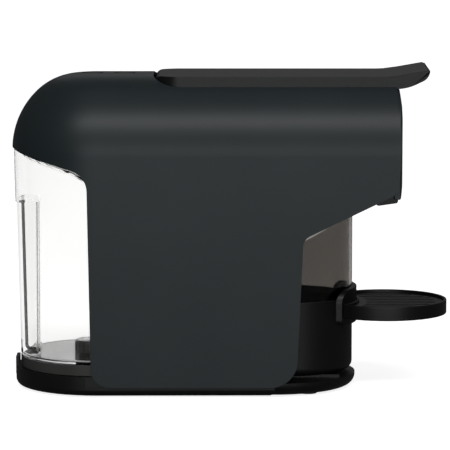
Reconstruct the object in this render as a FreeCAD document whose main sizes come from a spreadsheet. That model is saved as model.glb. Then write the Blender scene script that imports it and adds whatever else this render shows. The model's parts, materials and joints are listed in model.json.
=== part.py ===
import FreeCAD, Part
import math
import os
import Sketcher

V = FreeCAD.Vector

os.makedirs("parts", exist_ok=True)
doc = FreeCAD.newDocument("pod_machine")

# ---------------------------------------------------------------- driving dimensions (mm)
# +X is the front of the machine, +Z is up, the origin is on the table.
sheet = doc.addObject("Spreadsheet::Sheet", "Sizes")
DIMENSIONS = [
    # housing
    ("body_width", 129.0, "width over both side skirts"),
    ("body_top", 237.4, "height of the flat crown"),
    ("skin", 2.6, "wall of the housing"),
    ("dome_x", -99.5, "axis of the half-round rear"),
    ("shoulder_run", 31.9, "45 degree run between the two shoulder arcs"),
    ("shoulder_low_radius", 61.0, "lower shoulder arc"),
    ("shoulder_high_radius", 47.0, "upper shoulder arc"),
    ("front_x", 125.0, "front edge of the side skirts"),
    ("skirt_bottom", 8.5, "lower edge of the side skirts"),
    ("leg_front", 52.0, "front edge of the leg"),
    ("leg_rear", -104.5, "rear edge of the leg"),
    ("knee_z", 119.5, "where the leg turns into the overhang"),
    ("overhang_z", 153.5, "front end of the overhang's lower edge"),
    ("dome_edge_rear_z", 182.4, "lower edge of the dome at the very rear"),
    ("dome_edge_front_z", 167.0, "lower edge of the dome at the leg"),
    # lever
    ("lever_width", 75.6, "width of the lever"),
    ("lever_gap", 0.9, "gap round the lever"),
    ("pivot_x", -44.0, "lever hinge"),
    ("pivot_z", 232.0, "lever hinge"),
    ("lever_top", 239.0, "top of the lever"),
    ("lever_thick", 10.6, "depth of the lever"),
    ("lever_tip_x", 148.2, "front end of the lever"),
    ("open_angle", 80.0, "travel of the lever in degrees"),
    ("carriage_travel", 18.0, "travel of the brew carriage"),
    # base
    ("base_rear_radius", 62.7, "half-round rear of the base"),
    ("base_front_x", 94.6, "front of the base"),
    ("base_half_width", 61.4, "half the base's width between the side skirts"),
    ("base_top", 16.0, "top of the base under the tank and the leg"),
    ("base_front_top", 11.0, "top of the base under the bin"),
    ("base_bottom", 1.5, "lower edge of the base"),
    ("base_wall", 2.6, "wall of the base"),
    # tank
    ("tank_radius", 60.0, "half-round rear of the tank at its foot"),
    ("tank_draft", 1.2, "taper of the tank in degrees"),
    ("tank_wall", 2.4, "wall of the tank"),
    ("tank_front", -94.2, "flat front of the tank"),
    ("tank_floor", 24.0, "underside of the tank's floor"),
    ("flute_width", 30.0, "finger flute at the tank's rear"),
    ("flute_top", 141.0, "upper end of the flute"),
    ("flute_floor_x", -145.5, "bottom of the flute"),
    # bin and tray
    ("bin_front", 92.4, "front of the bin"),
    ("bin_half_width", 48.0, "half the bin's width"),
    ("bin_rear", 0.0, "rear of the bin"),
    ("bin_bottom", 13.5, "underside of the bin"),
    ("bin_seam", 69.5, "seam between black cup and smoked shell"),
    ("bin_wall", 2.0, "wall of the bin"),
    ("tray_x", 117.5, "centre of the round drip tray"),
    ("tray_radius", 46.5, "outside of the drip tray"),
    ("tray_top", 66.2, "rim of the drip tray"),
    ("tray_bottom", 55.6, "underside of the drip tray"),
    ("grille_drop", 2.4, "depth of the grille below the tray's rim"),
    ("grille_thick", 1.8, "thickness of the grille"),
    # brew chamber
    ("brew_z", 190.0, "axis of the brew chamber"),
    ("pod_radius", 15.0, "inside radius of the pod cup"),
    # chassis and drive, mirrored about the middle plane
    ("deck_z", 222.4, "underside of the deck below the lever"),
    ("chassis_z", 16.4, "foot of the inner frames and walls"),
    ("frame_y", 38.0, "outer face of each side frame's rib"),
    ("frame_thick", 2.4, "thickness of the frames"),
    ("ear_y", 19.5, "middle of each hinge ear"),
    ("ear_thick", 3.2, "thickness of a hinge ear"),
    ("cam_y", 27.5, "middle of each cam plate"),
    ("cam_thick", 3.0, "thickness of a cam plate"),
    ("bar_y", 34.0, "middle of each draw bar"),
    ("bar_thick", 2.4, "thickness of a draw bar"),
    # bores and controls
    ("pin_radius", 2.5, "radius of the hinge pin"),
    ("button_radius", 7.5, "radius of a button's cap"),
    ("gland_y", 30.0, "middle of the cord gland"),
    ("gland_z", 8.4, "middle of the cord gland"),
]
for row, (alias, value, note) in enumerate(DIMENSIONS, start=1):
    sheet.set("A%d" % row, str(value))
    sheet.setAlias("A%d" % row, alias)
    sheet.set("B%d" % row, note)
doc.recompute()


class Size:
    """A length that carries both its value and the expression it comes from."""

    def __init__(self, value, text):
        self.value = float(value)
        self.text = text

    def __add__(self, other):
        other = size(other)
        return Size(self.value + other.value, "(%s + %s)" % (self.text, other.text))

    def __radd__(self, other):
        return size(other) + self

    def __sub__(self, other):
        other = size(other)
        return Size(self.value - other.value, "(%s - %s)" % (self.text, other.text))

    def __rsub__(self, other):
        return size(other) - self

    def __mul__(self, other):
        other = size(other)
        return Size(self.value * other.value, "(%s * %s)" % (self.text, other.text))

    def __rmul__(self, other):
        return size(other) * self

    def __truediv__(self, other):
        other = size(other)
        return Size(self.value / other.value, "(%s / %s)" % (self.text, other.text))

    def __neg__(self):
        return Size(-self.value, "(0 - %s)" % self.text)


def size(value):
    """Wraps a plain number as a size."""
    if isinstance(value, Size):
        return value
    return Size(value, "(%s)" % repr(float(value)))


class Sheet:
    """Gives every alias of the sheet as a size."""

    def __getattr__(self, alias):
        return Size(float(getattr(sheet, alias)), "Sizes." + alias)


d = Sheet()


def bind(thing, path, value):
    """Binds one property to the sheet."""
    thing.setExpression(path, size(value).text)


# ---------------------------------------------------------------- sketches
def corner_path(points):
    """Start, centre and end of the arc at each rounded corner of a closed outline."""
    corners = []
    for index, point in enumerate(points):
        here = V(size(point[0]).value, size(point[1]).value)
        radius = point[2] if len(point) > 2 else 0
        radius_value = size(radius).value
        before = points[index - 1]
        after = points[(index + 1) % len(points)]
        to_before = (V(size(before[0]).value, size(before[1]).value) - here).normalize()
        to_after = (V(size(after[0]).value, size(after[1]).value) - here).normalize()
        if radius_value <= 0:
            corners.append((here, here, here, None, False))
            continue
        half = to_before.getAngle(to_after) / 2
        reach = radius_value / math.tan(half)
        middle = (to_before + to_after).normalize()
        centre = here + middle * (radius_value / math.sin(half))
        turns_left = to_before.cross(to_after).z < 0
        corners.append((here + to_before * reach, centre, here + to_after * reach, radius, turns_left))
    return corners


def draw_outline(sketch, points):
    """Draws a closed outline of (x, y) or (x, y, radius) corners, each one bound to the sheet."""
    corners = corner_path(points)
    count = len(points)
    lines = []
    for index in range(count):
        start = corners[index][2]
        end = corners[(index + 1) % count][0]
        lines.append(sketch.addGeometry(Part.LineSegment(start, end), False))
    for index, point in enumerate(points):
        start, centre, end, radius, turns_left = corners[index]
        line_in = lines[index - 1]
        line_out = lines[index]
        if radius is None:
            sketch.addConstraint(Sketcher.Constraint("Coincident", line_in, 2, line_out, 1))
            place = (line_out, 1)
        else:
            first, last = (start, end) if turns_left else (end, start)
            circle = Part.Circle(centre, V(0, 0, 1), (start - centre).Length)
            sweep = Part.ArcOfCircle(circle, circle.parameter(first), circle.parameter(last))
            arc = sketch.addGeometry(sweep)
            entry, leaving = (1, 2) if turns_left else (2, 1)
            corner = sketch.addGeometry(Part.Point(V(size(point[0]).value, size(point[1]).value)), True)
            sketch.addConstraint(Sketcher.Constraint("Tangent", line_in, 2, arc, entry))
            sketch.addConstraint(Sketcher.Constraint("Tangent", arc, leaving, line_out, 1))
            sketch.addConstraint(Sketcher.Constraint("PointOnObject", corner, 1, line_in))
            sketch.addConstraint(Sketcher.Constraint("PointOnObject", corner, 1, line_out))
            tie(sketch, Sketcher.Constraint("Radius", arc, size(radius).value), radius)
            place = (corner, 1)
        x, y = point[:2]
        tie(sketch, Sketcher.Constraint("DistanceX", -1, 1, place[0], place[1], size(x).value), x)
        tie(sketch, Sketcher.Constraint("DistanceY", -1, 1, place[0], place[1], size(y).value), y)


def draw_circle(sketch, centre_x, centre_y, radius):
    """Draws a circle whose centre and radius are bound to the sheet."""
    centre = V(size(centre_x).value, size(centre_y).value)
    circle = sketch.addGeometry(Part.Circle(centre, V(0, 0, 1), size(radius).value), False)
    tie(sketch, Sketcher.Constraint("Radius", circle, size(radius).value), radius)
    tie(sketch, Sketcher.Constraint("DistanceX", -1, 1, circle, 3, centre.x), centre_x)
    tie(sketch, Sketcher.Constraint("DistanceY", -1, 1, circle, 3, centre.y), centre_y)


def draw_half_round(sketch, centre_x, radius, front_x, half_width):
    """Draws a D in plan: half circle to the rear, straight sides, flat front."""
    cx = size(centre_x).value
    r = size(radius).value
    fx = size(front_x).value
    half = size(half_width).value
    circle = Part.Circle(V(cx, 0), V(0, 0, 1), r)
    arc = sketch.addGeometry(Part.ArcOfCircle(circle, math.pi / 2, 3 * math.pi / 2), False)
    upper = sketch.addGeometry(Part.LineSegment(V(cx, r), V(fx, half)), False)
    front = sketch.addGeometry(Part.LineSegment(V(fx, half), V(fx, -half)), False)
    lower = sketch.addGeometry(Part.LineSegment(V(fx, -half), V(cx, -r)), False)
    for first, first_end, second, second_end in (
            (arc, 1, upper, 1), (upper, 2, front, 1), (front, 2, lower, 1), (lower, 2, arc, 2)):
        sketch.addConstraint(Sketcher.Constraint("Coincident", first, first_end, second, second_end))
    sketch.addConstraint(Sketcher.Constraint("PointOnObject", arc, 3, -1))
    sketch.addConstraint(Sketcher.Constraint("Vertical", arc, 1, arc, 3))
    sketch.addConstraint(Sketcher.Constraint("Vertical", arc, 2, arc, 3))
    sketch.addConstraint(Sketcher.Constraint("Symmetric", front, 1, front, 2, -1))
    tie(sketch, Sketcher.Constraint("Radius", arc, r), radius)
    tie(sketch, Sketcher.Constraint("DistanceX", -1, 1, arc, 3, cx), centre_x)
    tie(sketch, Sketcher.Constraint("DistanceX", -1, 1, front, 1, fx), front_x)
    tie(sketch, Sketcher.Constraint("DistanceY", -1, 1, front, 1, half), half_width)


def draw_front_round(sketch, centre_x, radius, rear_x):
    """Draws a D in plan that points to the front: half circle, straight sides, flat rear."""
    cx = size(centre_x).value
    r = size(radius).value
    rear = size(rear_x).value
    circle = Part.Circle(V(cx, 0), V(0, 0, 1), r)
    arc = sketch.addGeometry(Part.ArcOfCircle(circle, -math.pi / 2, math.pi / 2), False)
    lower = sketch.addGeometry(Part.LineSegment(V(cx, -r), V(rear, -r)), False)
    back = sketch.addGeometry(Part.LineSegment(V(rear, -r), V(rear, r)), False)
    upper = sketch.addGeometry(Part.LineSegment(V(rear, r), V(cx, r)), False)
    for first, first_end, second, second_end in (
            (arc, 1, lower, 1), (lower, 2, back, 1), (back, 2, upper, 1), (upper, 2, arc, 2)):
        sketch.addConstraint(Sketcher.Constraint("Coincident", first, first_end, second, second_end))
    sketch.addConstraint(Sketcher.Constraint("PointOnObject", arc, 3, -1))
    sketch.addConstraint(Sketcher.Constraint("Vertical", arc, 1, arc, 3))
    sketch.addConstraint(Sketcher.Constraint("Vertical", arc, 2, arc, 3))
    sketch.addConstraint(Sketcher.Constraint("Horizontal", lower))
    sketch.addConstraint(Sketcher.Constraint("Horizontal", upper))
    sketch.addConstraint(Sketcher.Constraint("Vertical", back))
    tie(sketch, Sketcher.Constraint("Radius", arc, r), radius)
    tie(sketch, Sketcher.Constraint("DistanceX", -1, 1, arc, 3, cx), centre_x)
    tie(sketch, Sketcher.Constraint("DistanceX", -1, 1, back, 1, rear), rear_x)


def tie(sketch, constraint, value):
    """Adds a constraint and binds its value to the sheet when it comes from there."""
    index = sketch.addConstraint(constraint)
    if isinstance(value, Size):
        sketch.setExpression("Constraints[%d]" % index, value.text)


# ---------------------------------------------------------------- bodies and their features
def new_body(label):
    """Starts the body of one sub-part."""
    body = doc.addObject("PartDesign::Body", label)
    body.Label = label
    return body


def new_sketch(body, plane, height=0):
    """A sketch on one of the body's own planes, moved along +Z (XY), +X (YZ) or -Y (XZ)."""
    sketch = body.newObject("Sketcher::SketchObject", body.Name + "_outline")
    origin_plane = [f for f in body.Origin.OriginFeatures if f.Role == plane][0]
    sketch.AttachmentSupport = [(origin_plane, "")]
    sketch.MapMode = "FlatFace"
    bind(sketch, "AttachmentOffset.Base.z", height)
    return sketch


def feature(body, kind, sketch):
    made = body.newObject("PartDesign::" + kind, body.Name + "_" + kind)
    made.Profile = sketch
    sketch.Visibility = False
    return made


def pad(body, sketch, length, both_sides=False, taper=0.0):
    made = feature(body, "Pad", sketch)
    bind(made, "Length", length)
    made.Midplane = both_sides
    if size(taper).value:
        bind(made, "TaperAngle", taper)
    doc.recompute()
    return made


def pocket(body, sketch, length, both_sides=False, reverse=False):
    """Cuts the sketch out of the body and makes sure that something was cut."""
    before = body.Shape.Volume
    made = feature(body, "Pocket", sketch)
    bind(made, "Length", length)
    made.Midplane = both_sides
    made.Reversed = reverse
    doc.recompute()
    if body.Shape.Volume > before - 0.01:
        raise RuntimeError(body.Label + ": a pocket cuts nothing")
    return made


def turn(body, kind, sketch, angle=360.0, both_sides=False):
    """Revolution or groove about the sketch's own vertical axis."""
    made = feature(body, kind, sketch)
    made.ReferenceAxis = (sketch, ["V_Axis"])
    made.Angle = angle
    made.Midplane = both_sides
    doc.recompute()
    return made


def round_edges(body, radius, level):
    """Fillets the edges of the body's tip that lie at one height."""
    tip = body.Tip
    names = ["Edge%d" % number for number, edge in enumerate(tip.Shape.Edges, start=1)
             if all(abs(vertex.Z - size(level).value) < 0.01 for vertex in edge.Vertexes)]
    if not names:
        raise RuntimeError(body.Label + ": no edge to round")
    made = body.newObject("PartDesign::Fillet", body.Name + "_Fillet")
    made.Base = (tip, names)
    bind(made, "Radius", radius)
    doc.recompute()
    return made


def spot(thing, x, y, z):
    """Binds a placement."""
    bind(thing, "Placement.Base.x", x)
    bind(thing, "Placement.Base.y", y)
    bind(thing, "Placement.Base.z", z)


def block(name, x_range, y_range, z_range):
    """A box between two limits on each axis."""
    made = doc.addObject("Part::Box", name)
    for path, limits in (("Length", x_range), ("Width", y_range), ("Height", z_range)):
        bind(made, path, size(limits[1]) - limits[0])
    spot(made, x_range[0], y_range[0], z_range[0])
    return made


def rod(name, axis, radius, length, x, y, z):
    """A cylinder that starts at (x, y, z) and runs along +axis."""
    made = doc.addObject("Part::Cylinder", name)
    bind(made, "Radius", radius)
    bind(made, "Height", length)
    angles = {"x": FreeCAD.Rotation(V(0, 1, 0), 90), "y": FreeCAD.Rotation(V(1, 0, 0), -90)}
    made.Placement = FreeCAD.Placement(V(0, 0, 0), angles.get(axis, FreeCAD.Rotation()))
    spot(made, x, y, z)
    return made


def ring(name, axis, radius, bore, length, x, y, z):
    """A tube that starts at (x, y, z) and runs along +axis."""
    outer = rod(name + "_outer", axis, radius, length, x, y, z)
    inner = rod(name + "_bore", axis, bore, length, x, y, z)
    return cut(name, outer, inner)


def cut(name, base, *tools):
    """The base less its tools."""
    made = doc.addObject("Part::Cut", name)
    made.Base = base
    made.Tool = tools[0] if len(tools) == 1 else join(name + "_tools", *tools)
    return made


def join(name, *pieces):
    """Pieces fused into one solid."""
    made = doc.addObject("Part::MultiFuse", name)
    made.Shapes = list(pieces)
    return made


def group(name, pieces):
    """Separate identical solids in one node."""
    made = doc.addObject("Part::Compound", name)
    made.Links = pieces
    return made


NODES = []


def node(thing, label):
    """Names a sub-part and puts it on the list to write."""
    thing.Label = label
    NODES.append(thing)
    return thing


# ---------------------------------------------------------------- shared outlines
FAR = 400.0
crown_half = d.body_width / 2


def crown_section(half_width, top, floor, shrink=0.0):
    """Upturned U seen from the front: two shoulder arcs on each side, flat crown."""
    low = d.shoulder_low_radius - shrink
    high = d.shoulder_high_radius - shrink
    run = d.shoulder_run - 0.586 * size(shrink)
    return [(-half_width, floor), (half_width, floor), (half_width, top - run, low),
            (half_width - run, top, high), (-half_width + run, top, high), (-half_width, top - run, low)]


def half_crown(half_width, top, floor, shrink=0.0):
    """The right half of the crown section, for turning."""
    low = d.shoulder_low_radius - shrink
    high = d.shoulder_high_radius - shrink
    run = d.shoulder_run - 0.586 * size(shrink)
    return [(0.0, floor), (half_width, floor), (half_width, top - run, low),
            (half_width - run, top, high), (0.0, top)]


def frame_outline():
    """A very large rectangle; with an outline inside it, a pocket keeps only that outline."""
    return [(-FAR * 4, -FAR), (FAR, -FAR), (FAR, FAR), (-FAR * 4, FAR)]


def diagonal(x):
    """Height of the overhang's lower edge at x."""
    slope = (d.overhang_z - d.knee_z) / (d.front_x - 0.5 - d.leg_front - 2.2)
    return d.knee_z + slope * (size(x) - d.leg_front - 2.2)


def dome_edge(x):
    """Height of the dome's lower edge at x."""
    slope = (d.dome_edge_front_z - d.dome_edge_rear_z) / (d.leg_rear - 1.5 - d.dome_x + d.body_width / 2)
    return d.dome_edge_rear_z + slope * (size(x) - d.dome_x + d.body_width / 2)


# ---------------------------------------------------------------- housing
def main_housing():
    """Painted shell: straight run of the crown section, half-round dome at the rear, side skirts."""
    body = new_body("main_housing")
    run = new_sketch(body, "YZ_Plane", d.dome_x)
    draw_outline(run, crown_section(crown_half, d.body_top, 0.0))
    pad(body, run, d.front_x + 1.5 - d.dome_x)
    dome = new_sketch(body, "YZ_Plane", d.dome_x)
    draw_outline(dome, half_crown(crown_half, d.body_top, 0.0))
    turn(body, "Revolution", dome, 180.0)
    inner_half = crown_half - d.skin
    inner_top = d.body_top - d.skin
    hollow = new_sketch(body, "YZ_Plane", d.dome_x)
    draw_outline(hollow, crown_section(inner_half, inner_top, -5.0, d.skin))
    pocket(body, hollow, FAR, reverse=True)
    groove = new_sketch(body, "YZ_Plane", d.dome_x)
    draw_outline(groove, half_crown(inner_half, inner_top, -5.0, d.skin))
    turn(body, "Groove", groove, 180.0)
    side = new_sketch(body, "XZ_Plane")
    draw_outline(side, frame_outline())
    draw_outline(side, [
        (d.leg_rear + 1.3, d.skirt_bottom, 14.0), (d.leg_front - 3.0, d.skirt_bottom, 20.0),
        (d.leg_front + 2.2, d.knee_z, 9.0), (d.front_x - 0.5, d.overhang_z, 9.0),
        (d.front_x + 1.3, 192.0, 90.0), (d.front_x - 2.8, 250.0), (-200.0, 250.0),
        (-200.0, dome_edge(-200.0)), (d.leg_rear - 1.5, dome_edge(d.leg_rear - 1.5), 11.0)])
    pocket(body, side, FAR, both_sides=True)
    opening = new_sketch(body, "XY_Plane", 215.0)
    half = d.lever_width / 2 + d.lever_gap
    draw_outline(opening, [
        (-57.2, -half, 20.0), (160.0, -half), (160.0, half), (-57.2, half, 20.0)])
    pocket(body, opening, 40.0, reverse=True)
    for place in BUTTON_PLACES:
        hole = new_sketch(body, "XY_Plane", 215.0)
        draw_circle(hole, place, 0.0, d.button_radius + 0.5)
        pocket(body, hole, 40.0, reverse=True)
    return node(body, "main_housing")


BUTTON_PLACES = (-103.0, -79.0)


def front_panel():
    """Slightly convex panel that closes the housing's front."""
    body = new_body("front_panel")
    side = new_sketch(body, "XZ_Plane")
    draw_outline(side, [
        (121.0, 148.6), (126.2, 148.6), (128.4, 156.0, 8.0), (129.4, 172.0, 40.0),
        (128.7, 203.0, 80.0), (125.7, 228.0), (121.0, 228.0)])
    pad(body, side, d.body_width, both_sides=True)
    section = new_sketch(body, "YZ_Plane")
    draw_outline(section, frame_outline())
    draw_outline(section, crown_section(
        crown_half - d.skin - 0.3, d.body_top - d.skin - 0.3, 100.0, d.skin + 0.3))
    pocket(body, section, FAR, both_sides=True)
    bulge = new_sketch(body, "XY_Plane", 100.0)
    draw_outline(bulge, [(-FAR * 4, -FAR * 2), (FAR, -FAR * 2), (FAR, FAR * 2), (-FAR * 4, FAR * 2)])
    draw_circle(bulge, 129.4 - 488.0, 0.0, 488.0)
    pocket(body, bulge, FAR, reverse=True)
    return node(body, "front_panel")


def underside_panel():
    """Sloped plate that closes the overhang from below, open where used pods fall through."""
    body = new_body("underside_panel")
    side = new_sketch(body, "XZ_Plane")
    draw_outline(side, [
        (d.leg_front + 6.0, diagonal(d.leg_front + 6.0) + 3.0), (118.0, diagonal(118.0) + 1.5),
        (118.0, diagonal(118.0) + 4.0), (d.leg_front + 6.0, diagonal(d.leg_front + 6.0) + 5.5)])
    pad(body, side, d.body_width - 2 * d.skin - 0.8, both_sides=True)
    fall = new_sketch(body, "XY_Plane", 110.0)
    draw_outline(fall, [(62.5, -20.0), (85.9, -20.0), (85.9, 20.0), (62.5, 20.0)])
    pocket(body, fall, 60.0, reverse=True)
    outlet = new_sketch(body, "XY_Plane", 110.0)
    draw_outline(outlet, [(98.0, -19.5), (125.0, -19.5), (125.0, 19.5), (98.0, 19.5)])
    pocket(body, outlet, 60.0, reverse=True)
    return node(body, "underside_panel")


def spout():
    """Collector trough under the brew chamber with a short black outlet nose."""
    nose = new_body("spout_nose")
    side = new_sketch(nose, "XZ_Plane")
    draw_outline(side, [
        (109.5, 138.6, 2.0), (126.0, 141.0, 2.0), (126.0, 148.2), (118.5, 148.2),
        (118.5, 162.0), (86.4, 162.0), (86.4, 154.0, 3.0), (100.0, 152.0), (109.5, 148.2)])
    pad(nose, side, 38.0, both_sides=True)
    trough = new_sketch(nose, "YZ_Plane", 88.2)
    draw_outline(trough, [(-16.5, 170.0), (-16.5, 159.0), (-3.0, 155.6),
                          (3.0, 155.6), (16.5, 159.0), (16.5, 170.0)])
    pocket(nose, trough, 28.6, reverse=True)
    outlet = rod("spout_outlet", "z", 2.5, 30.0, 114.0, 0.0, 130.0)
    return node(cut("spout_solid", nose, outlet), "spout")


def top_deck():
    """Black deck under the lever with the pod slot and the two ears of the lever hinge."""
    plate = block("deck_plate", (-40.0, 119.5), (-38.6, 38.6), (d.deck_z, d.deck_z + 2.6))
    slot = block("deck_pod_slot", (65.0, 84.0), (-17.0, 17.0), (215.0, 230.0))
    tools = [slot]
    for sign in (-1, 1):
        tools.append(block("deck_cam_slot_%d" % (sign + 1), (-41.0, -9.0),
                           (sign * d.cam_y - 2.6, sign * d.cam_y + 2.6), (215.0, 230.0)))
    ears = [plate]
    for sign in (-1, 1):
        foot = block("deck_ear_foot_%d" % (sign + 1), (-48.5, -34.0),
                     (sign * d.ear_y - d.ear_thick / 2, sign * d.ear_y + d.ear_thick / 2),
                     (d.deck_z, d.deck_z + 3.6))
        post = block("deck_ear_post_%d" % (sign + 1), (-48.5, -39.5),
                     (sign * d.ear_y - d.ear_thick / 2, sign * d.ear_y + d.ear_thick / 2),
                     (d.deck_z, d.pivot_z))
        eye = rod("deck_ear_eye_%d" % (sign + 1), "y", d.pin_radius + 2.0, d.ear_thick,
                  d.pivot_x, sign * d.ear_y - d.ear_thick / 2, d.pivot_z)
        ears += [foot, post, eye]
    tools.append(rod("deck_pin_bore", "y", d.pin_radius, 80.0, d.pivot_x, -40.0, d.pivot_z))
    return node(cut("deck_solid", join("deck_fused", *ears), *tools), "top_deck")


# ---------------------------------------------------------------- lever
LIP_START = 124.0
LIP_SLOPE = 10.5


def crown_waste(top):
    """What lies above the lever's crown: flat in the middle, falling away in arcs to both sides."""
    fall = 0.61 * (60.0 - 26.5)
    high = d.shoulder_high_radius
    return [(-60.0, top + 70.0), (-60.0, top - fall), (-26.5, top, high),
            (26.5, top, high), (60.0, top - fall), (60.0, top + 70.0)]


def lever_cover():
    """Long flat lever: rounded rear end, crown-shaped top, upturned front lip, hollow below."""
    body = new_body("lever_body")
    under = d.lever_top - d.lever_thick
    side = new_sketch(body, "XZ_Plane")
    draw_outline(side, [
        (d.pivot_x - 12.2, under, 3.0), (131.0, under, 12.0), (141.5, under + 2.2, 10.0),
        (147.6, under + 7.6, 2.0), (d.lever_tip_x + 0.4, under + 12.6, 1.6), (145.6, d.lever_top + 4.0, 1.2),
        (124.0, d.lever_top, 30.0), (d.pivot_x - 12.2, d.lever_top, 5.0)])
    pad(body, side, d.lever_width, both_sides=True)
    plan = new_sketch(body, "XY_Plane", 200.0)
    half = d.lever_width / 2
    draw_outline(plan, frame_outline())
    draw_outline(plan, [(d.pivot_x - 12.2, -half, 19.5), (200.0, -half), (200.0, half),
                        (d.pivot_x - 12.2, half, 19.5)])
    pocket(body, plan, 80.0, reverse=True)
    crown = new_sketch(body, "YZ_Plane", -60.0)
    draw_outline(crown, crown_waste(d.lever_top))
    pocket(body, crown, LIP_START + 60.0, reverse=True)
    lip = new_sketch(body, "YZ_Plane", LIP_START)
    lip.AttachmentOffset = FreeCAD.Placement(
        V(0, d.lever_top.value, LIP_START), FreeCAD.Rotation(V(1, 0, 0), -LIP_SLOPE))
    bind(lip, "AttachmentOffset.Base.y", d.lever_top)
    draw_outline(lip, crown_waste(0.0))
    pocket(body, lip, 40.0, reverse=True)
    hollow = new_sketch(body, "XY_Plane", under - 1.0)
    draw_outline(hollow, [(-30.0, -31.0, 6.0), (124.0, -31.0, 6.0), (124.0, 31.0, 6.0), (-30.0, 31.0, 6.0)])
    pocket(body, hollow, 4.4, reverse=True)
    tools = [rod("lever_pin_bore", "y", d.pin_radius + 0.05, 61.0, d.pivot_x, -30.5, d.pivot_z)]
    for sign in (-1, 1):
        tools.append(block("lever_ear_slot_%d" % (sign + 1), (-60.0, -37.5),
                           (sign * d.ear_y - 2.1, sign * d.ear_y + 2.1), (220.0, 237.0)))
    return node(cut("lever_solid", body, *tools), "lever_cover")


def lever_hinge_pin():
    return node(rod("hinge_pin", "y", d.pin_radius, 60.0, d.pivot_x, -30.0, d.pivot_z), "lever_hinge_pin")


CAM_HEIGHT = 24.0
CAM_START = -8.0
PIN_RADIUS = 2.0


def cam_slot_points(offset, steps=9):
    """Path of the draw pin as the lever carries it round, shifted sideways by the offset."""
    path = []
    for step in range(steps):
        turned = math.radians(d.open_angle.value) * step / (steps - 1)
        x = CAM_START + d.carriage_travel.value * step / (steps - 1)
        here = V(x * math.cos(turned) - CAM_HEIGHT * math.sin(turned), 0,
                 -x * math.sin(turned) - CAM_HEIGHT * math.cos(turned))
        path.append(here)
    shifted = []
    for index, here in enumerate(path):
        ahead = path[min(index + 1, steps - 1)] - path[max(index - 1, 0)]
        side = V(-ahead.z, 0, ahead.x).normalize()
        shifted.append(here + side * offset)
    return path, shifted


def cam_plates():
    """Pair of plates under the lever; their slots drive the draw pins by a constant ratio."""
    half_slot = PIN_RADIUS + 0.3
    plates = []
    for sign in (-1, 1):
        thick = d.cam_thick.value
        low_y = sign * d.cam_y.value - thick / 2
        ahead = d.pivot_x.value
        level = d.pivot_z.value
        outline = [V(6, 0, -3.6), V(6, 0, -12), V(-1, 0, -29), V(-10, 0, -30), V(-27, 0, -19),
                   V(-28, 0, -11), V(-20, 0, -5.0), V(-11.5, 0, -3.6)]
        wire = Part.makePolygon([p + V(ahead, low_y, level) for p in outline + outline[:1]])
        plate = Part.Face(wire).extrude(V(0, thick, 0))
        path, outer = cam_slot_points(half_slot)
        inner = cam_slot_points(-half_slot)[1]
        place = V(ahead, low_y - 1.0, level)
        outer_curve = Part.BSplineCurve()
        outer_curve.interpolate([p + place for p in outer])
        inner_curve = Part.BSplineCurve()
        inner_curve.interpolate([p + place for p in reversed(inner)])
        slot_wire = Part.Wire([
            outer_curve.toShape(), Part.makeLine(outer[-1] + place, inner[-1] + place),
            inner_curve.toShape(), Part.makeLine(inner[0] + place, outer[0] + place)])
        slot = Part.Face(slot_wire).extrude(V(0, thick + 2.0, 0))
        for end in (path[0], path[-1]):
            slot = slot.fuse(Part.makeCylinder(half_slot, thick + 2.0, end + place, V(0, 1, 0)))
        plates.append(plate.cut(slot))
    made = doc.addObject("Part::Feature", "cam_plate_pair")
    made.Shape = Part.makeCompound(plates)
    return node(made, "cam_plates")


# ---------------------------------------------------------------- brew chamber
CAM_Z = d.pivot_z - CAM_HEIGHT
PIN_X = d.pivot_x + CAM_START


def draw_bars():
    """Pair of bars that carry the lever's pull to the brew carriage, with their cam pins."""
    bars = []
    for sign in (-1, 1):
        side = "_%d" % (sign + 1)
        middle = sign * d.bar_y
        bar = block("draw_bar" + side, (PIN_X - 5.0, 74.0),
                    (middle - d.bar_thick / 2, middle + d.bar_thick / 2), (CAM_Z - 5.0, CAM_Z + 5.0))
        start = d.bar_y - 9.5 if sign > 0 else -d.bar_y
        pin = rod("draw_pin" + side, "y", PIN_RADIUS, 9.5, PIN_X, start, CAM_Z)
        bars.append(join("draw_bar_fused" + side, bar, pin))
    return node(group("draw_bar_pair", bars), "draw_bars")


def brew_carriage():
    """Cup that takes the front half of the pod, on a wide yoke between the draw bars."""
    yoke = block("carriage_yoke", (74.0, 79.0), (-35.2, 35.2), (CAM_Z - 7.0, CAM_Z + 6.0))
    web = block("carriage_web", (74.0, 79.0), (-19.0, 19.0), (d.brew_z, CAM_Z + 6.0))
    cup = rod("carriage_cup", "x", 19.0, 26.0, 70.0, 0.0, d.brew_z)
    nozzle = rod("carriage_nozzle", "z", 4.0, 20.0, 90.0, 0.0, 165.5)
    solid = join("carriage_fused", yoke, web, cup, nozzle)
    cavity = rod("carriage_cavity", "x", d.pod_radius, 22.0, 69.0, 0.0, d.brew_z)
    drain = rod("carriage_drain", "z", 1.5, 40.0, 90.0, 0.0, 155.0)
    return node(cut("carriage_solid", solid, cavity, drain), "brew_carriage")


def injector_plate():
    """Fixed plate that closes the rear of the chamber."""
    plate = block("injector_slab", (58.0, 63.0), (-36.5, 36.5), (166.0, 200.0))
    boss = rod("injector_boss", "x", 14.0, 5.0, 63.0, 0.0, d.brew_z)
    port = rod("injector_port", "x", 4.5, 8.0, 50.0, 0.0, d.brew_z)
    solid = join("injector_fused", plate, boss, port)
    channel = rod("injector_channel", "x", 2.0, 30.0, 45.0, 0.0, d.brew_z)
    return node(cut("injector_solid", solid, channel), "injector_plate")


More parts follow.
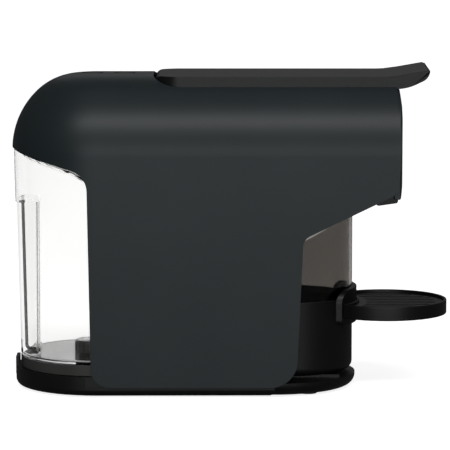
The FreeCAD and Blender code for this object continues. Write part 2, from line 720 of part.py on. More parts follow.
def injector_needles():
    """Three short hollow points that pierce the pod."""
    needles = []
    for index in range(3):
        angle = math.radians(120 * index + 90)
        needle = doc.addObject("Part::Cone", "needle_%d" % index)
        bind(needle, "Radius1", 1.4)
        bind(needle, "Radius2", 0.3)
        bind(needle, "Height", 5.0)
        needle.Placement = FreeCAD.Placement(V(0, 0, 0), FreeCAD.Rotation(V(0, 1, 0), 90))
        spot(needle, 68.0, 8.0 * math.cos(angle), d.brew_z + 8.0 * math.sin(angle))
        needles.append(needle)
    return node(group("needle_group", needles), "injector_needles")


def pod_chute():
    """Square chute that leads used pods down to the bin."""
    outer = block("chute_outer", (63.4, 85.4), (-19.6, 19.6), (137.0, 166.0))
    inner = block("chute_inner", (65.0, 83.8), (-18.0, 18.0), (100.0, 190.0))
    return node(cut("chute_solid", outer, inner), "pod_chute")


# ---------------------------------------------------------------- chassis
def side_frames():
    """Two sheet frames that carry the deck, the injector plate and the leg's contents."""
    frames = []
    for sign in (-1, 1):
        body = new_body("side_frame_%d" % (sign + 1))
        side = new_sketch(body, "XZ_Plane", -sign * d.frame_y - d.frame_thick / 2)
        draw_outline(side, [
            (-88.0, d.chassis_z), (-4.4, d.chassis_z), (-4.4, 163.0), (100.0, 163.0, 6.0),
            (118.0, 175.0, 6.0), (118.0, d.deck_z), (-66.0, d.deck_z, 8.0), (-88.0, 202.0, 8.0)])
        pad(body, side, d.frame_thick)
        frames.append(body)
    return node(group("side_frame_pair", frames), "side_frames")


def rear_wall():
    """Wall between the tank bay and the leg's contents."""
    plate = block("rear_wall_plate", (-90.6, -88.4), (-58.5, 58.5), (d.chassis_z, 196.0))
    passage = rod("rear_wall_hose", "x", 5.0, 10.0, -95.0, 0.0, 22.5)
    return node(cut("rear_wall_solid", plate, passage), "rear_wall")


def middle_wall():
    """Wall between the leg's contents and the pod bin."""
    plate = block("middle_wall_plate", (-4.0, -1.8), (-58.0, 58.0), (d.chassis_z, 162.6))
    return node(plate, "middle_wall")


def board_bracket():
    """Shelf over the tank bay that carries the control board."""
    shelf = block("bracket_shelf", (-116.0, -66.5), (-22.0, 22.0), (217.0, 219.0))
    post = block("bracket_post", (-90.6, -88.4), (-22.0, 22.0), (196.2, 217.0))
    return node(join("bracket_solid", shelf, post), "board_bracket")


# ---------------------------------------------------------------- controls
def control_board():
    return node(block("board_plate", (-114.0, -68.0), (-20.0, 20.0), (219.2, 220.8)), "control_board")


def board_switches():
    """One small switch under each button."""
    switches = [block("switch_%d" % index, (place - 4.0, place + 4.0), (-4.0, 4.0), (220.8, 226.6))
                for index, place in enumerate(BUTTON_PLACES)]
    return node(group("switch_group", switches), "board_switches")


def push_button(label, place):
    """Round cap flush with the crown, on a stem with a retaining collar."""
    cap = rod(label + "_cap", "z", d.button_radius, 6.2, place, 0.0, 231.0)
    collar = rod(label + "_collar", "z", d.button_radius + 1.5, 1.4, place, 0.0, 230.8)
    stem = rod(label + "_stem", "z", 2.5, 3.0, place, 0.0, 228.2)
    return node(join(label + "_solid", cap, collar, stem), label)


# ---------------------------------------------------------------- base
def side_flats(name, rear, half_width, low):
    """Two blocks that shave a piece's sides so that it clears the side skirts."""
    return [block(name + "_left", (rear, 60.0), (half_width, half_width + 20.0), (low, 240.0)),
            block(name + "_right", (rear, 60.0), (-half_width - 20.0, -half_width), (low, 240.0))]


METER_X = -24.0
PUMP_X = -60.0


def draw_base_front(sketch, inset):
    """Plan of the base's front part: straight sides and a half-round end."""
    half = d.base_half_width - inset
    draw_front_round(sketch, d.base_front_x - d.base_half_width, half, d.dome_x + 10.0)


def base_front_block(name, inset, low, height):
    """The base's front part, pulled in by the inset, between two heights."""
    body = new_body(name)
    plan = new_sketch(body, "XY_Plane", low)
    draw_base_front(plan, inset)
    pad(body, plan, height)
    return body


def base_rear_block(name, radius, front, half_width, low, height):
    """The base's rear part with its half-round end, between two heights."""
    body = new_body(name)
    plan = new_sketch(body, "XY_Plane", low)
    draw_half_round(plan, d.dome_x, radius, front, half_width)
    pad(body, plan, height)
    return body


FRONT_EDGE = 8.0
REAR_EDGE = 5.0
FRONT_RIM = FRONT_EDGE + 1.0
REAR_RIM = REAR_EDGE + 1.0


def base():
    """Plinth: hollow from below, lower in front under the bin, with a rear upstand."""
    height = d.base_top - d.base_bottom
    front = base_front_block("base_front", 0.0, d.base_bottom, height)
    round_edges(front, FRONT_EDGE, d.base_bottom)
    rear = base_rear_block("base_rear", d.base_rear_radius, d.base_front_x - d.base_half_width,
                           d.base_half_width, d.base_bottom, height)
    round_edges(rear, REAR_EDGE, d.base_bottom)
    step = block("base_step", (-1.4, 120.0), (-80.0, 80.0), (d.base_front_top, 40.0))
    under_front = base_front_block("base_under_front", FRONT_RIM, 0.0, d.base_front_top - d.base_wall)
    under_rear = base_rear_block("base_under_rear", d.base_rear_radius - REAR_RIM, -10.0,
                                 d.base_half_width - REAR_RIM, 0.0, d.base_top - d.base_wall)
    upstand = block("base_upstand", (-162.0, -159.5), (-9.0, 9.0), (10.0, 23.0))
    rails = [block("base_rail_%d" % index, (4.0, 82.0), (y - 3.0, y + 3.0),
                   (d.base_front_top - 1.0, d.bin_bottom - 0.3))
             for index, y in enumerate((-30.0, 30.0))]
    bosses = [rod("base_boss_%d" % index, "z", 4.0, 5.6, x, y, 3.8)
              for index, (x, y) in enumerate(SCREW_PLACES)]
    rear_bosses = [rod("base_rear_boss_%d" % index, "z", 4.0, 6.0, x, y, 8.0)
                   for index, (x, y) in enumerate(SCREW_PLACES) if x < 0]
    screw_holes = [rod("base_screw_hole_%d" % index, "z", 1.4, 5.0, x, y, 2.0)
                   for index, (x, y) in enumerate(SCREW_PLACES)]
    hose_hole = rod("base_hose_hole", "z", 3.0, 20.0, METER_X, 0.0, 6.0)
    gland_hole = rod("base_gland_hole", "x", 4.6, 24.0, -170.0, d.gland_y, d.gland_z)
    dock_hole = rod("base_dock_hole", "z", 4.0, 20.0, TANK_VALVE_X, 0.0, 5.0)
    shell = cut("base_shell", join("base_outside", front, rear), step, under_front, under_rear)
    plinth = join("base_fused", shell, upstand, *rails, *bosses, *rear_bosses)
    flats = side_flats("base_flat", d.leg_rear - 3.0, crown_half - d.skin - 0.3, d.skirt_bottom - 0.3)
    return node(cut("base_solid", plinth, *flats, gland_hole, dock_hole, hose_hole, *screw_holes), "base")


def bottom_cover():
    """Flat cover that closes the base from below, with four countersunk screw holes."""
    gap = 0.4
    thick = 1.6
    front = base_front_block("cover_front", FRONT_RIM + gap, 2.0, thick)
    rear = base_rear_block("cover_rear", d.base_rear_radius - REAR_RIM - gap, -10.0 - gap,
                           d.base_half_width - REAR_RIM - gap, 2.0, thick)
    holes = [rod("cover_hole_%d" % index, "z", 1.7, 5.0, x, y, 0.5)
             for index, (x, y) in enumerate(SCREW_PLACES)]
    return node(cut("cover_solid", join("cover_plate", front, rear), *holes), "bottom_cover")


SCREW_PLACES = [(x, y) for x in (-118.0, 62.0) for y in (-24.0, 24.0)]
FOOT_PLACES = [(x, y) for x in (-126.0, 58.0) for y in (-36.0, 36.0)]


def base_screws():
    """Screws from the bottom cover into the base."""
    screws = []
    for index, (x, y) in enumerate(SCREW_PLACES):
        head = rod("screw_head_%d" % index, "z", 2.8, 1.1, x, y, 0.9)
        shank = rod("screw_shank_%d" % index, "z", 1.4, 5.5, x, y, 1.5)
        screws.append(join("screw_%d" % index, head, shank))
    return node(group("screw_group", screws), "base_screws")


def rubber_feet():
    """Four round feet under the bottom cover."""
    feet = [rod("foot_%d" % index, "z", 7.0, 2.0, x, y, 0.0) for index, (x, y) in enumerate(FOOT_PLACES)]
    return node(group("foot_group", feet), "rubber_feet")


def cord_gland():
    """Bush in the base's rear wall that the mains cord comes out of."""
    body = ring("gland_tube", "x", 4.5, 3.2, 9.0, -157.2, d.gland_y, d.gland_z)
    return node(body, "cord_gland")


# ---------------------------------------------------------------- water tank
TANK_VALVE_X = -107.5


def tank_outline(inset, top):
    """Side view of the tank: its top follows the dome's edge, then drops towards the front."""
    kink = -119.0
    return [(-180.0, top), (-180.0, dome_edge(-180.0) - 0.8 - inset), (kink, dome_edge(kink) - 0.8 - inset),
            (-60.0, dome_edge(kink) - 30.0 - inset), (-60.0, top)]


def water_tank():
    """Clear tank: D in plan, slightly wider at the top, with a finger flute at the rear."""
    body = new_body("tank_body")
    plan = new_sketch(body, "XY_Plane", d.tank_floor)
    draw_half_round(plan, d.dome_x, d.tank_radius, d.tank_front, d.tank_radius)
    pad(body, plan, 162.0, taper=d.tank_draft)
    flute = new_sketch(body, "XY_Plane", d.tank_floor)
    half = d.flute_width / 2
    draw_outline(flute, [(-175.0, -half - 3.0), (d.flute_floor_x, -half + 2.0, 5.0),
                         (d.flute_floor_x, half - 2.0, 5.0), (-175.0, half + 3.0)])
    pocket(body, flute, d.flute_top - d.tank_floor, reverse=True)
    low = new_sketch(body, "XY_Plane", d.tank_floor + d.tank_wall)
    radius = d.tank_radius - d.tank_wall
    draw_half_round(low, d.dome_x, radius, d.tank_front - d.tank_wall, radius)
    wall_half = half + d.tank_wall
    draw_outline(low, [(-152.0, -wall_half), (d.flute_floor_x + d.tank_wall, -wall_half + 1.0, 5.0),
                       (d.flute_floor_x + d.tank_wall, wall_half - 1.0, 5.0), (-152.0, wall_half)])
    pocket(body, low, d.flute_top - d.tank_floor, reverse=True)
    high = new_sketch(body, "XY_Plane", d.flute_top + d.tank_wall)
    draw_half_round(high, d.dome_x, radius, d.tank_front - d.tank_wall, radius)
    pocket(body, high, 60.0, reverse=True)
    top = new_sketch(body, "XZ_Plane")
    draw_outline(top, tank_outline(0.0, 300.0))
    pocket(body, top, FAR, both_sides=True)
    hole = rod("tank_valve_hole", "z", 7.0, 20.0, TANK_VALVE_X, 0.0, 15.0)
    flats = side_flats("tank_flat", -120.0, crown_half - d.skin - 0.5, 20.0)
    return node(cut("tank_solid", body, hole, *flats), "water_tank")


def tank_lid():
    """Lid inside the tank's rim, parallel to the dome's edge."""
    body = new_body("lid_body")
    plan = new_sketch(body, "XY_Plane", 120.0)
    inner = d.tank_radius - d.tank_wall - 0.4
    draw_half_round(plan, d.dome_x, inner, d.tank_front - d.tank_wall - 0.4, inner)
    pad(body, plan, 80.0)
    top = new_sketch(body, "XZ_Plane")
    draw_outline(top, tank_outline(0.6, 300.0))
    pocket(body, top, FAR, both_sides=True)
    below = new_sketch(body, "XZ_Plane")
    draw_outline(below, [(-180.0, 100.0), (-60.0, 100.0), (-60.0, dome_edge(-119.0) - 34.0),
                         (-119.0, dome_edge(-119.0) - 3.6), (-180.0, dome_edge(-180.0) - 3.6)])
    pocket(body, below, FAR, both_sides=True)
    return node(body, "tank_lid")


def tank_foot_ring():
    """Grey band that the tank stands on."""
    body = new_body("foot_ring_body")
    plan = new_sketch(body, "XY_Plane", d.base_top + 0.3)
    draw_half_round(plan, d.dome_x, 58.9, d.tank_front - 0.4, 58.9)
    draw_half_round(plan, d.dome_x, 54.0, d.tank_front - 5.0, 54.0)
    pad(body, plan, d.tank_floor - d.base_top - 0.3)
    return node(body, "tank_foot_ring")


def tank_valve_body():
    """Ribbed round valve on the tank's floor, with its outlet below."""
    collar = rod("valve_collar", "z", 9.5, 8.0, TANK_VALVE_X, 0.0, d.tank_floor + d.tank_wall)
    outlet = rod("valve_outlet", "z", 6.9, 12.0, TANK_VALVE_X, 0.0, d.base_top + 1.4)
    solids = [collar, outlet]
    for index in range(16):
        angle = math.radians(22.5 * index)
        solids.append(rod("valve_rib_%d" % index, "z", 0.9, 7.0, TANK_VALVE_X + 9.3 * math.cos(angle),
                          9.3 * math.sin(angle), d.tank_floor + d.tank_wall))
    seat = rod("valve_seat", "z", 2.4, 60.0, TANK_VALVE_X, 0.0, 10.0)
    chamber = rod("valve_chamber", "z", 4.4, 12.0, TANK_VALVE_X, 0.0, d.tank_floor - 1.6)
    return node(cut("valve_solid", join("valve_fused", *solids), seat, chamber), "tank_valve_body")


def tank_valve_plunger():
    """Disc on a stem that closes the outlet when the tank leaves the dock."""
    disc = rod("plunger_disc", "z", 3.9, 1.6, TANK_VALVE_X, 0.0, d.tank_floor + 3.0)
    stem = rod("plunger_stem", "z", 1.6, 10.0, TANK_VALVE_X, 0.0, d.base_top + 1.0)
    return node(join("plunger_solid", disc, stem), "tank_valve_plunger")


def tank_filter():
    """Round screen over the valve."""
    disc = rod("filter_disc", "z", 8.5, 1.0, TANK_VALVE_X, 0.0, d.tank_floor + d.tank_wall + 8.0)
    holes = []
    for index in range(8):
        angle = math.radians(45 * index)
        holes.append(rod("filter_hole_%d" % index, "z", 1.0, 4.0, TANK_VALVE_X + 5.5 * math.cos(angle),
                         5.5 * math.sin(angle), d.tank_floor + 9.0))
    return node(cut("filter_solid", disc, *holes), "tank_filter")


def tank_dock():
    """Spigot in the base that feeds the pump and opens the tank's valve."""
    socket = rod("dock_socket", "z", 3.9, 10.5, TANK_VALVE_X, 0.0, 6.0)
    bore = rod("dock_bore", "z", 2.2, 30.0, TANK_VALVE_X, 0.0, 8.0)
    elbow = rod("dock_elbow", "x", 2.8, 14.0, TANK_VALVE_X, 0.0, 9.4)
    passage = rod("dock_passage", "x", 1.4, 20.0, TANK_VALVE_X, 0.0, 9.4)
    return node(cut("dock_solid", join("dock_fused", socket, elbow), bore, passage), "tank_dock")


# ---------------------------------------------------------------- pod bin
def draw_bin_plan(sketch, inset):
    """Mirror image of the tank's D: the half round points to the front."""
    centre = d.bin_front - d.bin_half_width
    draw_front_round(sketch, centre, d.bin_half_width - inset, d.bin_rear + inset)


def bin_cup():
    """Lower half of the bin: black, with a rounded bottom edge."""
    body = new_body("bin_cup")
    plan = new_sketch(body, "XY_Plane", d.bin_bottom)
    draw_bin_plan(plan, 0.0)
    pad(body, plan, d.bin_seam - d.bin_bottom)
    round_edges(body, 6.0, d.bin_bottom)
    cavity = new_sketch(body, "XY_Plane", d.bin_bottom + d.bin_wall)
    draw_bin_plan(cavity, d.bin_wall)
    pocket(body, cavity, 100.0, reverse=True)
    return node(body, "bin_cup")


def bin_smoked_shell():
    """Upper half of the bin: smoked, open at the top, its rim parallel to the overhang."""
    body = new_body("bin_smoked_shell")
    plan = new_sketch(body, "XY_Plane", d.bin_seam)
    draw_bin_plan(plan, 0.0)
    draw_bin_plan(plan, d.bin_wall)
    pad(body, plan, 80.0)
    rim = new_sketch(body, "XZ_Plane")
    draw_outline(rim, [(-20.0, rim_height(-20.0)), (120.0, rim_height(120.0)),
                       (120.0, 200.0), (-20.0, 200.0)])
    pocket(body, rim, FAR, both_sides=True)
    return node(body, "bin_smoked_shell")


def rim_height(x):
    """Height of the bin's rim at x: parallel to the overhang, a little below it."""
    return diagonal(x) - 4.6


def pod_basket():
    """Slotted plate near the bin's floor that keeps used pods out of the drips."""
    body = new_body("basket_body")
    plan = new_sketch(body, "XY_Plane", d.bin_bottom + 14.0)
    draw_bin_plan(plan, d.bin_wall + 0.5)
    pad(body, plan, 1.6)
    slots = [block("basket_slot_%d" % index, (14.0, 74.0), (12.0 * index - 38.5, 12.0 * index - 33.5),
                   (20.0, 40.0)) for index in range(7)]
    legs = [rod("basket_leg_%d" % index, "z", 2.5, 12.4, x, y, d.bin_bottom + d.bin_wall)
            for index, (x, y) in enumerate([(8.0, -40.0), (8.0, 40.0), (70.0, -34.0), (70.0, 34.0)])]
    return node(cut("basket_solid", join("basket_fused", body, *legs), *slots), "pod_basket")


BRACKET_HALF = 33.0


def tray_bracket():
    """Curved hump on the bin's front that the drip tray hangs on."""
    centre = d.bin_front - d.bin_half_width
    band = ring("bracket_band", "z", d.bin_half_width + 3.4, d.bin_half_width + 0.02, 26.5,
                centre, 0.0, 50.0)
    keep = new_body("bracket_keep")
    side = new_sketch(keep, "YZ_Plane", 60.0)
    draw_outline(side, [(-BRACKET_HALF, 50.0, 4.0), (BRACKET_HALF, 50.0, 4.0),
                        (BRACKET_HALF, 76.5, 10.0), (-BRACKET_HALF, 76.5, 10.0)])
    pad(keep, side, 50.0)
    made = doc.addObject("Part::MultiCommon", "bracket_common")
    made.Shapes = [band, keep]
    return node(made, "tray_bracket")


# ---------------------------------------------------------------- drip tray
def tray_disc(name, radius, low, high, bracket_gap):
    """Round slab of the tray's plan, cut back to clear the bracket."""
    disc = rod(name + "_disc", "z", radius, high - size(low), d.tray_x, 0.0, low)
    centre = d.bin_front - d.bin_half_width
    clear = rod(name + "_clear", "z", d.bin_half_width + 3.4 + size(bracket_gap), 60.0, centre, 0.0, 40.0)
    return cut(name, disc, clear)


def drip_tray():
    """Shallow round tray with a stepped rim that carries the grille."""
    outer = tray_disc("tray_outer", d.tray_radius, d.tray_bottom, d.tray_top, 0.4)
    step_level = d.tray_top - d.grille_drop - d.grille_thick
    well = tray_disc("tray_well", d.tray_radius - 3.6, d.tray_bottom + 1.6, d.tray_top + 1.0, 2.6)
    step = tray_disc("tray_step", d.tray_radius - 2.0, step_level, d.tray_top + 1.0, 1.8)
    return node(cut("tray_solid", outer, well, step), "drip_tray")


GRILLE_SLOTS = 9
GRILLE_PITCH = 8.0


def drip_grille():
    """Flat slotted grille that rests on the tray's step."""
    top = d.tray_top - d.grille_drop
    plate = tray_disc("grille_plate", d.tray_radius - 2.4, top - d.grille_thick, top, 2.2)
    slots = []
    for index in range(GRILLE_SLOTS):
        y = GRILLE_PITCH * (index - (GRILLE_SLOTS - 1) / 2)
        half_length = math.sqrt(38.5 ** 2 - y ** 2) if abs(y) < 36 else 10.0
        front = d.tray_x.value + half_length
        rear = max(d.tray_x.value - half_length, d.bin_front.value + 9.0 - y * y / 90.0)
        slots.append(block("grille_slot_%d" % index, (rear, front), (y - 1.9, y + 1.9), (60.0, 70.0)))
    return node(cut("grille_solid", plate, *slots), "drip_grille")


# ---------------------------------------------------------------- water path
def thermoblock():
    """Heater block with its inlet and outlet stubs."""
    block_body = block("heater_block", (-66.0, -26.0), (-20.0, 20.0), (112.0, 158.0))
    inlet = rod("heater_inlet", "z", 3.0, 8.0, PUMP_X, 0.0, 104.5)
    outlet = rod("heater_outlet", "z", 3.0, 8.0, -34.0, 0.0, 157.5)
    ribs = [block("heater_rib_%d" % index, (-67.5, -24.5), (-21.5, 21.5),
                  (116.0 + 9.0 * index, 118.5 + 9.0 * index)) for index in range(5)]
    return node(join("heater_solid", block_body, inlet, outlet, *ribs), "thermoblock")


def thermostat():
    return node(rod("thermostat_can", "y", 7.0, 4.0, -46.0, 21.5, 136.0), "thermostat")


def thermal_fuse():
    return node(rod("fuse_tube", "x", 1.6, 24.0, -58.0, -23.2, 150.0), "thermal_fuse")


def pump_body():
    """Vibration pump: tube with a fixed outlet head; the piston runs in its bore."""
    tube = rod("pump_tube", "z", 8.0, 62.0, PUMP_X, 0.0, 28.0)
    head = rod("pump_head", "z", 10.0, 10.0, PUMP_X, 0.0, 84.0)
    stub = rod("pump_stub", "z", 3.0, 8.0, PUMP_X, 0.0, 93.0)
    solid = join("pump_fused", tube, head, stub)
    bore = rod("pump_bore", "z", 4.05, 50.0, PUMP_X, 0.0, 34.0)
    inlet = rod("pump_inlet", "z", 1.5, 30.0, PUMP_X, 0.0, 20.0)
    return node(cut("pump_solid", solid, bore, inlet), "pump_body")


def pump_coil():
    """Coil and yoke round the pump's tube."""
    yoke = block("coil_yoke", (-78.0, -42.0), (-15.0, 15.0), (40.0, 76.0))
    bore = rod("coil_bore", "z", 8.0, 60.0, PUMP_X, 0.0, 30.0)
    return node(cut("coil_solid", yoke, bore), "pump_coil")


def pump_piston():
    return node(rod("piston_rod", "z", 4.0, 34.0, PUMP_X, 0.0, 40.0), "pump_piston")


def pump_mounts():
    """Rubber rings that hold the pump off the base."""
    low = ring("pump_mount_low", "z", 12.0, 8.0, 4.0, PUMP_X, 0.0, 30.0)
    high = ring("pump_mount_high", "z", 12.0, 8.0, 4.0, PUMP_X, 0.0, 78.0)
    return node(group("pump_mount_pair", [low, high]), "pump_mounts")


def pump_cradle():
    """Fork under the pump that stands on the base."""
    foot = block("cradle_foot", (-76.0, -46.0), (-14.0, 14.0), (16.2, 19.0))
    post = block("cradle_post", (-76.0, -72.3), (-14.0, 14.0), (16.2, 34.0))
    shelf = block("cradle_shelf", (-76.0, -46.0), (-14.0, 14.0), (26.6, 29.8))
    hole = rod("cradle_hole", "z", 8.4, 20.0, PUMP_X, 0.0, 22.0)
    return node(cut("cradle_solid", join("cradle_fused", foot, post, shelf), hole), "pump_cradle")


def flow_meter_body():
    """Round meter housing with a chamber for the impeller."""
    can = rod("meter_can", "z", 14.0, 14.0, METER_X, 0.0, 18.0)
    stand = block("meter_stand", (-34.0, -14.0), (-8.0, 8.0), (16.2, 19.0))
    chamber = rod("meter_chamber", "z", 11.0, 9.0, METER_X, 0.0, 20.5)
    solid = cut("meter_hollow", join("meter_fused", can, stand), chamber)
    spindle = rod("meter_spindle", "z", 1.5, 13.0, METER_X, 0.0, 18.5)
    return node(join("meter_solid", solid, spindle), "flow_meter_body")


def flow_impeller():
    """Six-bladed impeller on the meter's spindle."""
    hub = rod("impeller_hub", "z", 3.5, 7.0, METER_X, 0.0, 21.5)
    blades = [hub]
    for index in range(6):
        blade = doc.addObject("Part::Box", "impeller_blade_%d" % index)
        bind(blade, "Length", 7.8)
        bind(blade, "Width", 1.2)
        bind(blade, "Height", 7.0)
        turned = FreeCAD.Rotation(V(0, 0, 1), 60.0 * index)
        blade.Placement = FreeCAD.Placement(V(METER_X, 0.0, 21.5) + turned.multVec(V(2.0, -0.6, 0)), turned)
        blades.append(blade)
    bore = rod("impeller_bore", "z", 1.56, 20.0, METER_X, 0.0, 15.0)
    return node(cut("impeller_solid", join("impeller_fused", *blades), bore), "flow_impeller")


def hose(label, points, radius, bend):
    """Hose along straight runs joined by tangent arcs."""
    start = V(*points[0])
    edges = []
    direction = V(*points[1]) - start
    for index in range(1, len(points) - 1):
        corner = V(*points[index])
        after = V(*points[index + 1])
        to_start = (V(*points[index - 1]) - corner).normalize()
        to_after = (after - corner).normalize()
        half = to_start.getAngle(to_after) / 2
        reach = bend / math.tan(half)
        enter = corner + to_start * reach
        leave = corner + to_after * reach
        centre = corner + (to_start + to_after).normalize() * (bend / math.sin(half))
        middle = centre + (corner - centre).normalize() * bend
        edges.append(Part.LineSegment(start, enter).toShape())
        edges.append(Part.Arc(enter, middle, leave).toShape())
        start = leave
    edges.append(Part.LineSegment(start, V(*points[-1])).toShape())
    section = Part.Wire([Part.Circle(V(*points[0]), direction, radius).toShape()])
    solid = Part.Wire(edges).makePipeShell([section], True, False)
    made = doc.addObject("Part::Feature", label)
    made.Shape = solid
    return node(made, label)


def hoses():
    """Silicone hoses from the dock to the injector plate."""
    hose("hose_dock", [(-92.5, 0, 9.4), (METER_X, 0, 9.4), (METER_X, 0, 16.2)], 2.2, 5.0)
    hose("hose_meter", [(METER_X - 14.0, 0, 23.0), (PUMP_X, 0, 23.0), (PUMP_X, 0, 28.0)], 2.0, 4.0)
    level = d.brew_z.value
    hose("hose_heater", [(-34.0, 0, 165.5), (-34.0, 0, level), (50.0, 0, level)], 2.4, 12.0)
    node(ring("hose_pump", "z", 4.2, 3.0, 14.0, PUMP_X, 0.0, 96.0), "hose_pump")


def relief_valve():
    """Small valve between heater and injector, beside the hose."""
    return node(rod("relief_can", "z", 6.0, 18.0, -34.0, 30.0, 140.0), "relief_valve")


# ---------------------------------------------------------------- build and write
def check_and_write():
    """Stops on any failed object, then writes one file per sub-part."""
    doc.recompute()
    failed = [thing.Name for thing in doc.Objects if "Invalid" in thing.State or "Error" in thing.State]
    for thing in NODES:
        if thing.Shape.isNull() or not thing.Shape.isValid():
            failed.append(thing.Label)
    if failed:
        raise RuntimeError("failed: " + ", ".join(failed))
    for thing in NODES:
        thing.Shape.exportStep("parts/%s.step" % thing.Label)
        bounds = thing.Shape.optimalBoundingBox()
        print("%-20s %d solid(s) %9.0f mm3  x %.1f..%.1f y %.1f..%.1f z %.1f..%.1f" % (
            thing.Label, len(thing.Shape.Solids), thing.Shape.Volume, bounds.XMin, bounds.XMax,
            bounds.YMin, bounds.YMax, bounds.ZMin, bounds.ZMax))


for make in (main_housing, front_panel, underside_panel, spout, top_deck, lever_cover, lever_hinge_pin,
             cam_plates, draw_bars, brew_carriage, injector_plate, injector_needles, pod_chute, side_frames,
             rear_wall, middle_wall, board_bracket, control_board, board_switches, base, bottom_cover,
             base_screws, rubber_feet, cord_gland, water_tank, tank_lid, tank_foot_ring, tank_valve_body,
             tank_valve_plunger, tank_filter, tank_dock, bin_cup, bin_smoked_shell, pod_basket, tray_bracket,
             drip_tray, drip_grille, thermoblock, thermostat, thermal_fuse, pump_body, pump_coil, pump_piston,
             pump_mounts, pump_cradle, flow_meter_body, flow_impeller, relief_valve, hoses):
    make()
    print("made", make.__name__)
for name, place in zip(("button_short", "button_long"), BUTTON_PLACES):
    push_button(name, place)
check_and_write()
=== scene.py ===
import bpy
import bmesh
import json
import math
from mathutils import Matrix, Vector


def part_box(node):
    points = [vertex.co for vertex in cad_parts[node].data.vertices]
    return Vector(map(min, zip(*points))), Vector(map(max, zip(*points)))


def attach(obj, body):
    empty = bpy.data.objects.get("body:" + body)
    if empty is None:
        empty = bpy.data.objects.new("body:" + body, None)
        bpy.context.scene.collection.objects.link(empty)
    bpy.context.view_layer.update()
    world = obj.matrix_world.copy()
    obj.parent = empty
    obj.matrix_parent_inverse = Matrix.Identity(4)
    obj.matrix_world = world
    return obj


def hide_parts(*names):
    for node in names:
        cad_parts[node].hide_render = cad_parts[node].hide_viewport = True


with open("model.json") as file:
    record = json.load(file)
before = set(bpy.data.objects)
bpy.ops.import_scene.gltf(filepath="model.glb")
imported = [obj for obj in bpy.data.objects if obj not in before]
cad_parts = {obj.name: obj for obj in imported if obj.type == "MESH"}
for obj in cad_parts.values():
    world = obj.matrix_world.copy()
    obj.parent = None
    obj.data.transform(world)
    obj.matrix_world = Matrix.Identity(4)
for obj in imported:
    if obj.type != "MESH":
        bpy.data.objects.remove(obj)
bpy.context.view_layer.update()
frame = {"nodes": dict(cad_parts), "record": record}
mm = 0.001
through = 100 * mm  # how far a cutter reaches past the part
print("frame loaded:", len(frame["nodes"]), "nodes")

# stage, light and camera

stageDict = {
    "floorFront": 5.0,
    "floorRear": 1.6,
    "floorWidth": 9.0,
    "sweepRadius": 1.2,
    "sweepSteps": 24,
    "wallHeight": 2.0,
    "floorColor": (0.93, 0.93, 0.93),
    "floorGlow": 0.85,
    "worldColor": (0.62, 0.63, 0.65),
    "worldStrength": 0.10,
    "cameraElevation": 7.4,
    "cameraDistance": 2.6,
    "cameraTarget": (-0.0038, 0.0, 0.122),
    "lens": 275.2,
    "sensor": 36.0,
}


def makeStage():
    # floor that curves up into a backdrop behind the part; it hides the part from a camera behind it
    data = stageDict
    bm = bmesh.new()
    front = bm.verts.new((0, -data["floorFront"], 0))
    turnStart = bm.verts.new((0, data["floorRear"], 0))
    bm.edges.new((front, turnStart))
    bend = bmesh.ops.spin(bm, geom=[turnStart], cent=(0, data["floorRear"], data["sweepRadius"]),
                          axis=(1, 0, 0), angle=math.pi / 2, steps=data["sweepSteps"], dvec=(0, 0, 0))
    top = [item for item in bend["geom_last"] if isinstance(item, bmesh.types.BMVert)][0]
    crest = bm.verts.new(top.co + Vector((0, 0, data["wallHeight"])))
    bm.edges.new((top, crest))
    made = bmesh.ops.extrude_edge_only(bm, edges=bm.edges[:])
    bmesh.ops.translate(bm, vec=(-data["floorWidth"], 0, 0),
                        verts=[item for item in made["geom"] if isinstance(item, bmesh.types.BMVert)])
    bmesh.ops.translate(bm, vec=(data["floorWidth"] / 2, 0, 0), verts=bm.verts)
    bmesh.ops.recalc_face_normals(bm, faces=bm.faces)
    mesh = bpy.data.meshes.new("floor")
    bm.to_mesh(mesh)
    bm.free()
    for polygon in mesh.polygons:
        polygon.use_smooth = True
    floor = bpy.data.objects.new("floor", mesh)
    bpy.context.scene.collection.objects.link(floor)
    floorMaterial = bpy.data.materials.new("studioFloor")
    floorMaterial.use_nodes = True
    shader = floorMaterial.node_tree.nodes["Principled BSDF"]
    shader.inputs["Base Color"].default_value = (*data["floorColor"], 1)
    shader.inputs["Roughness"].default_value = 0.9
    shader.inputs["Specular IOR Level"].default_value = 0.1
    shader.inputs["Emission Color"].default_value = (1, 1, 1, 1)
    shader.inputs["Emission Strength"].default_value = data["floorGlow"]
    mesh.materials.append(floorMaterial)
    floor.visible_diffuse = False  # keeps the glow of the floor off the part
    floor.visible_glossy = False


def makeSoftbox(name, place, aim, size, power, tint):
    light = bpy.data.lights.new(name, "AREA")
    light.shape = "RECTANGLE"
    light.size, light.size_y = size
    light.energy = power
    light.color = tint
    lamp = bpy.data.objects.new(name, light)
    bpy.context.scene.collection.objects.link(lamp)
    lamp.location = place
    direction = Vector(aim) - Vector(place)
    lamp.rotation_euler = direction.to_track_quat("-Z", "Y").to_euler()


# name: place, point it looks at, width and height, watts, tint
lightDict = {
    "frontSoftbox": ((0.05, -1.7, 1.85), (0, 0, 0.14), (2.6, 0.45), 30, (1, 1, 1)),
    "frontFill": ((0.1, -2.6, 0.25), (0, 0, 0.04), (2.6, 0.55), 19, (0.97, 0.99, 1.0)),
    "overheadSoftbox": ((0.0, -0.1, 2.0), (0, 0, 0.1), (1.4, 0.7), 0.8, (1, 1, 1)),
    "rearLight": ((0.3, 1.9, 1.3), (0, 0, 0.12), (2.0, 1.2), 2, (1, 1, 1)),
}


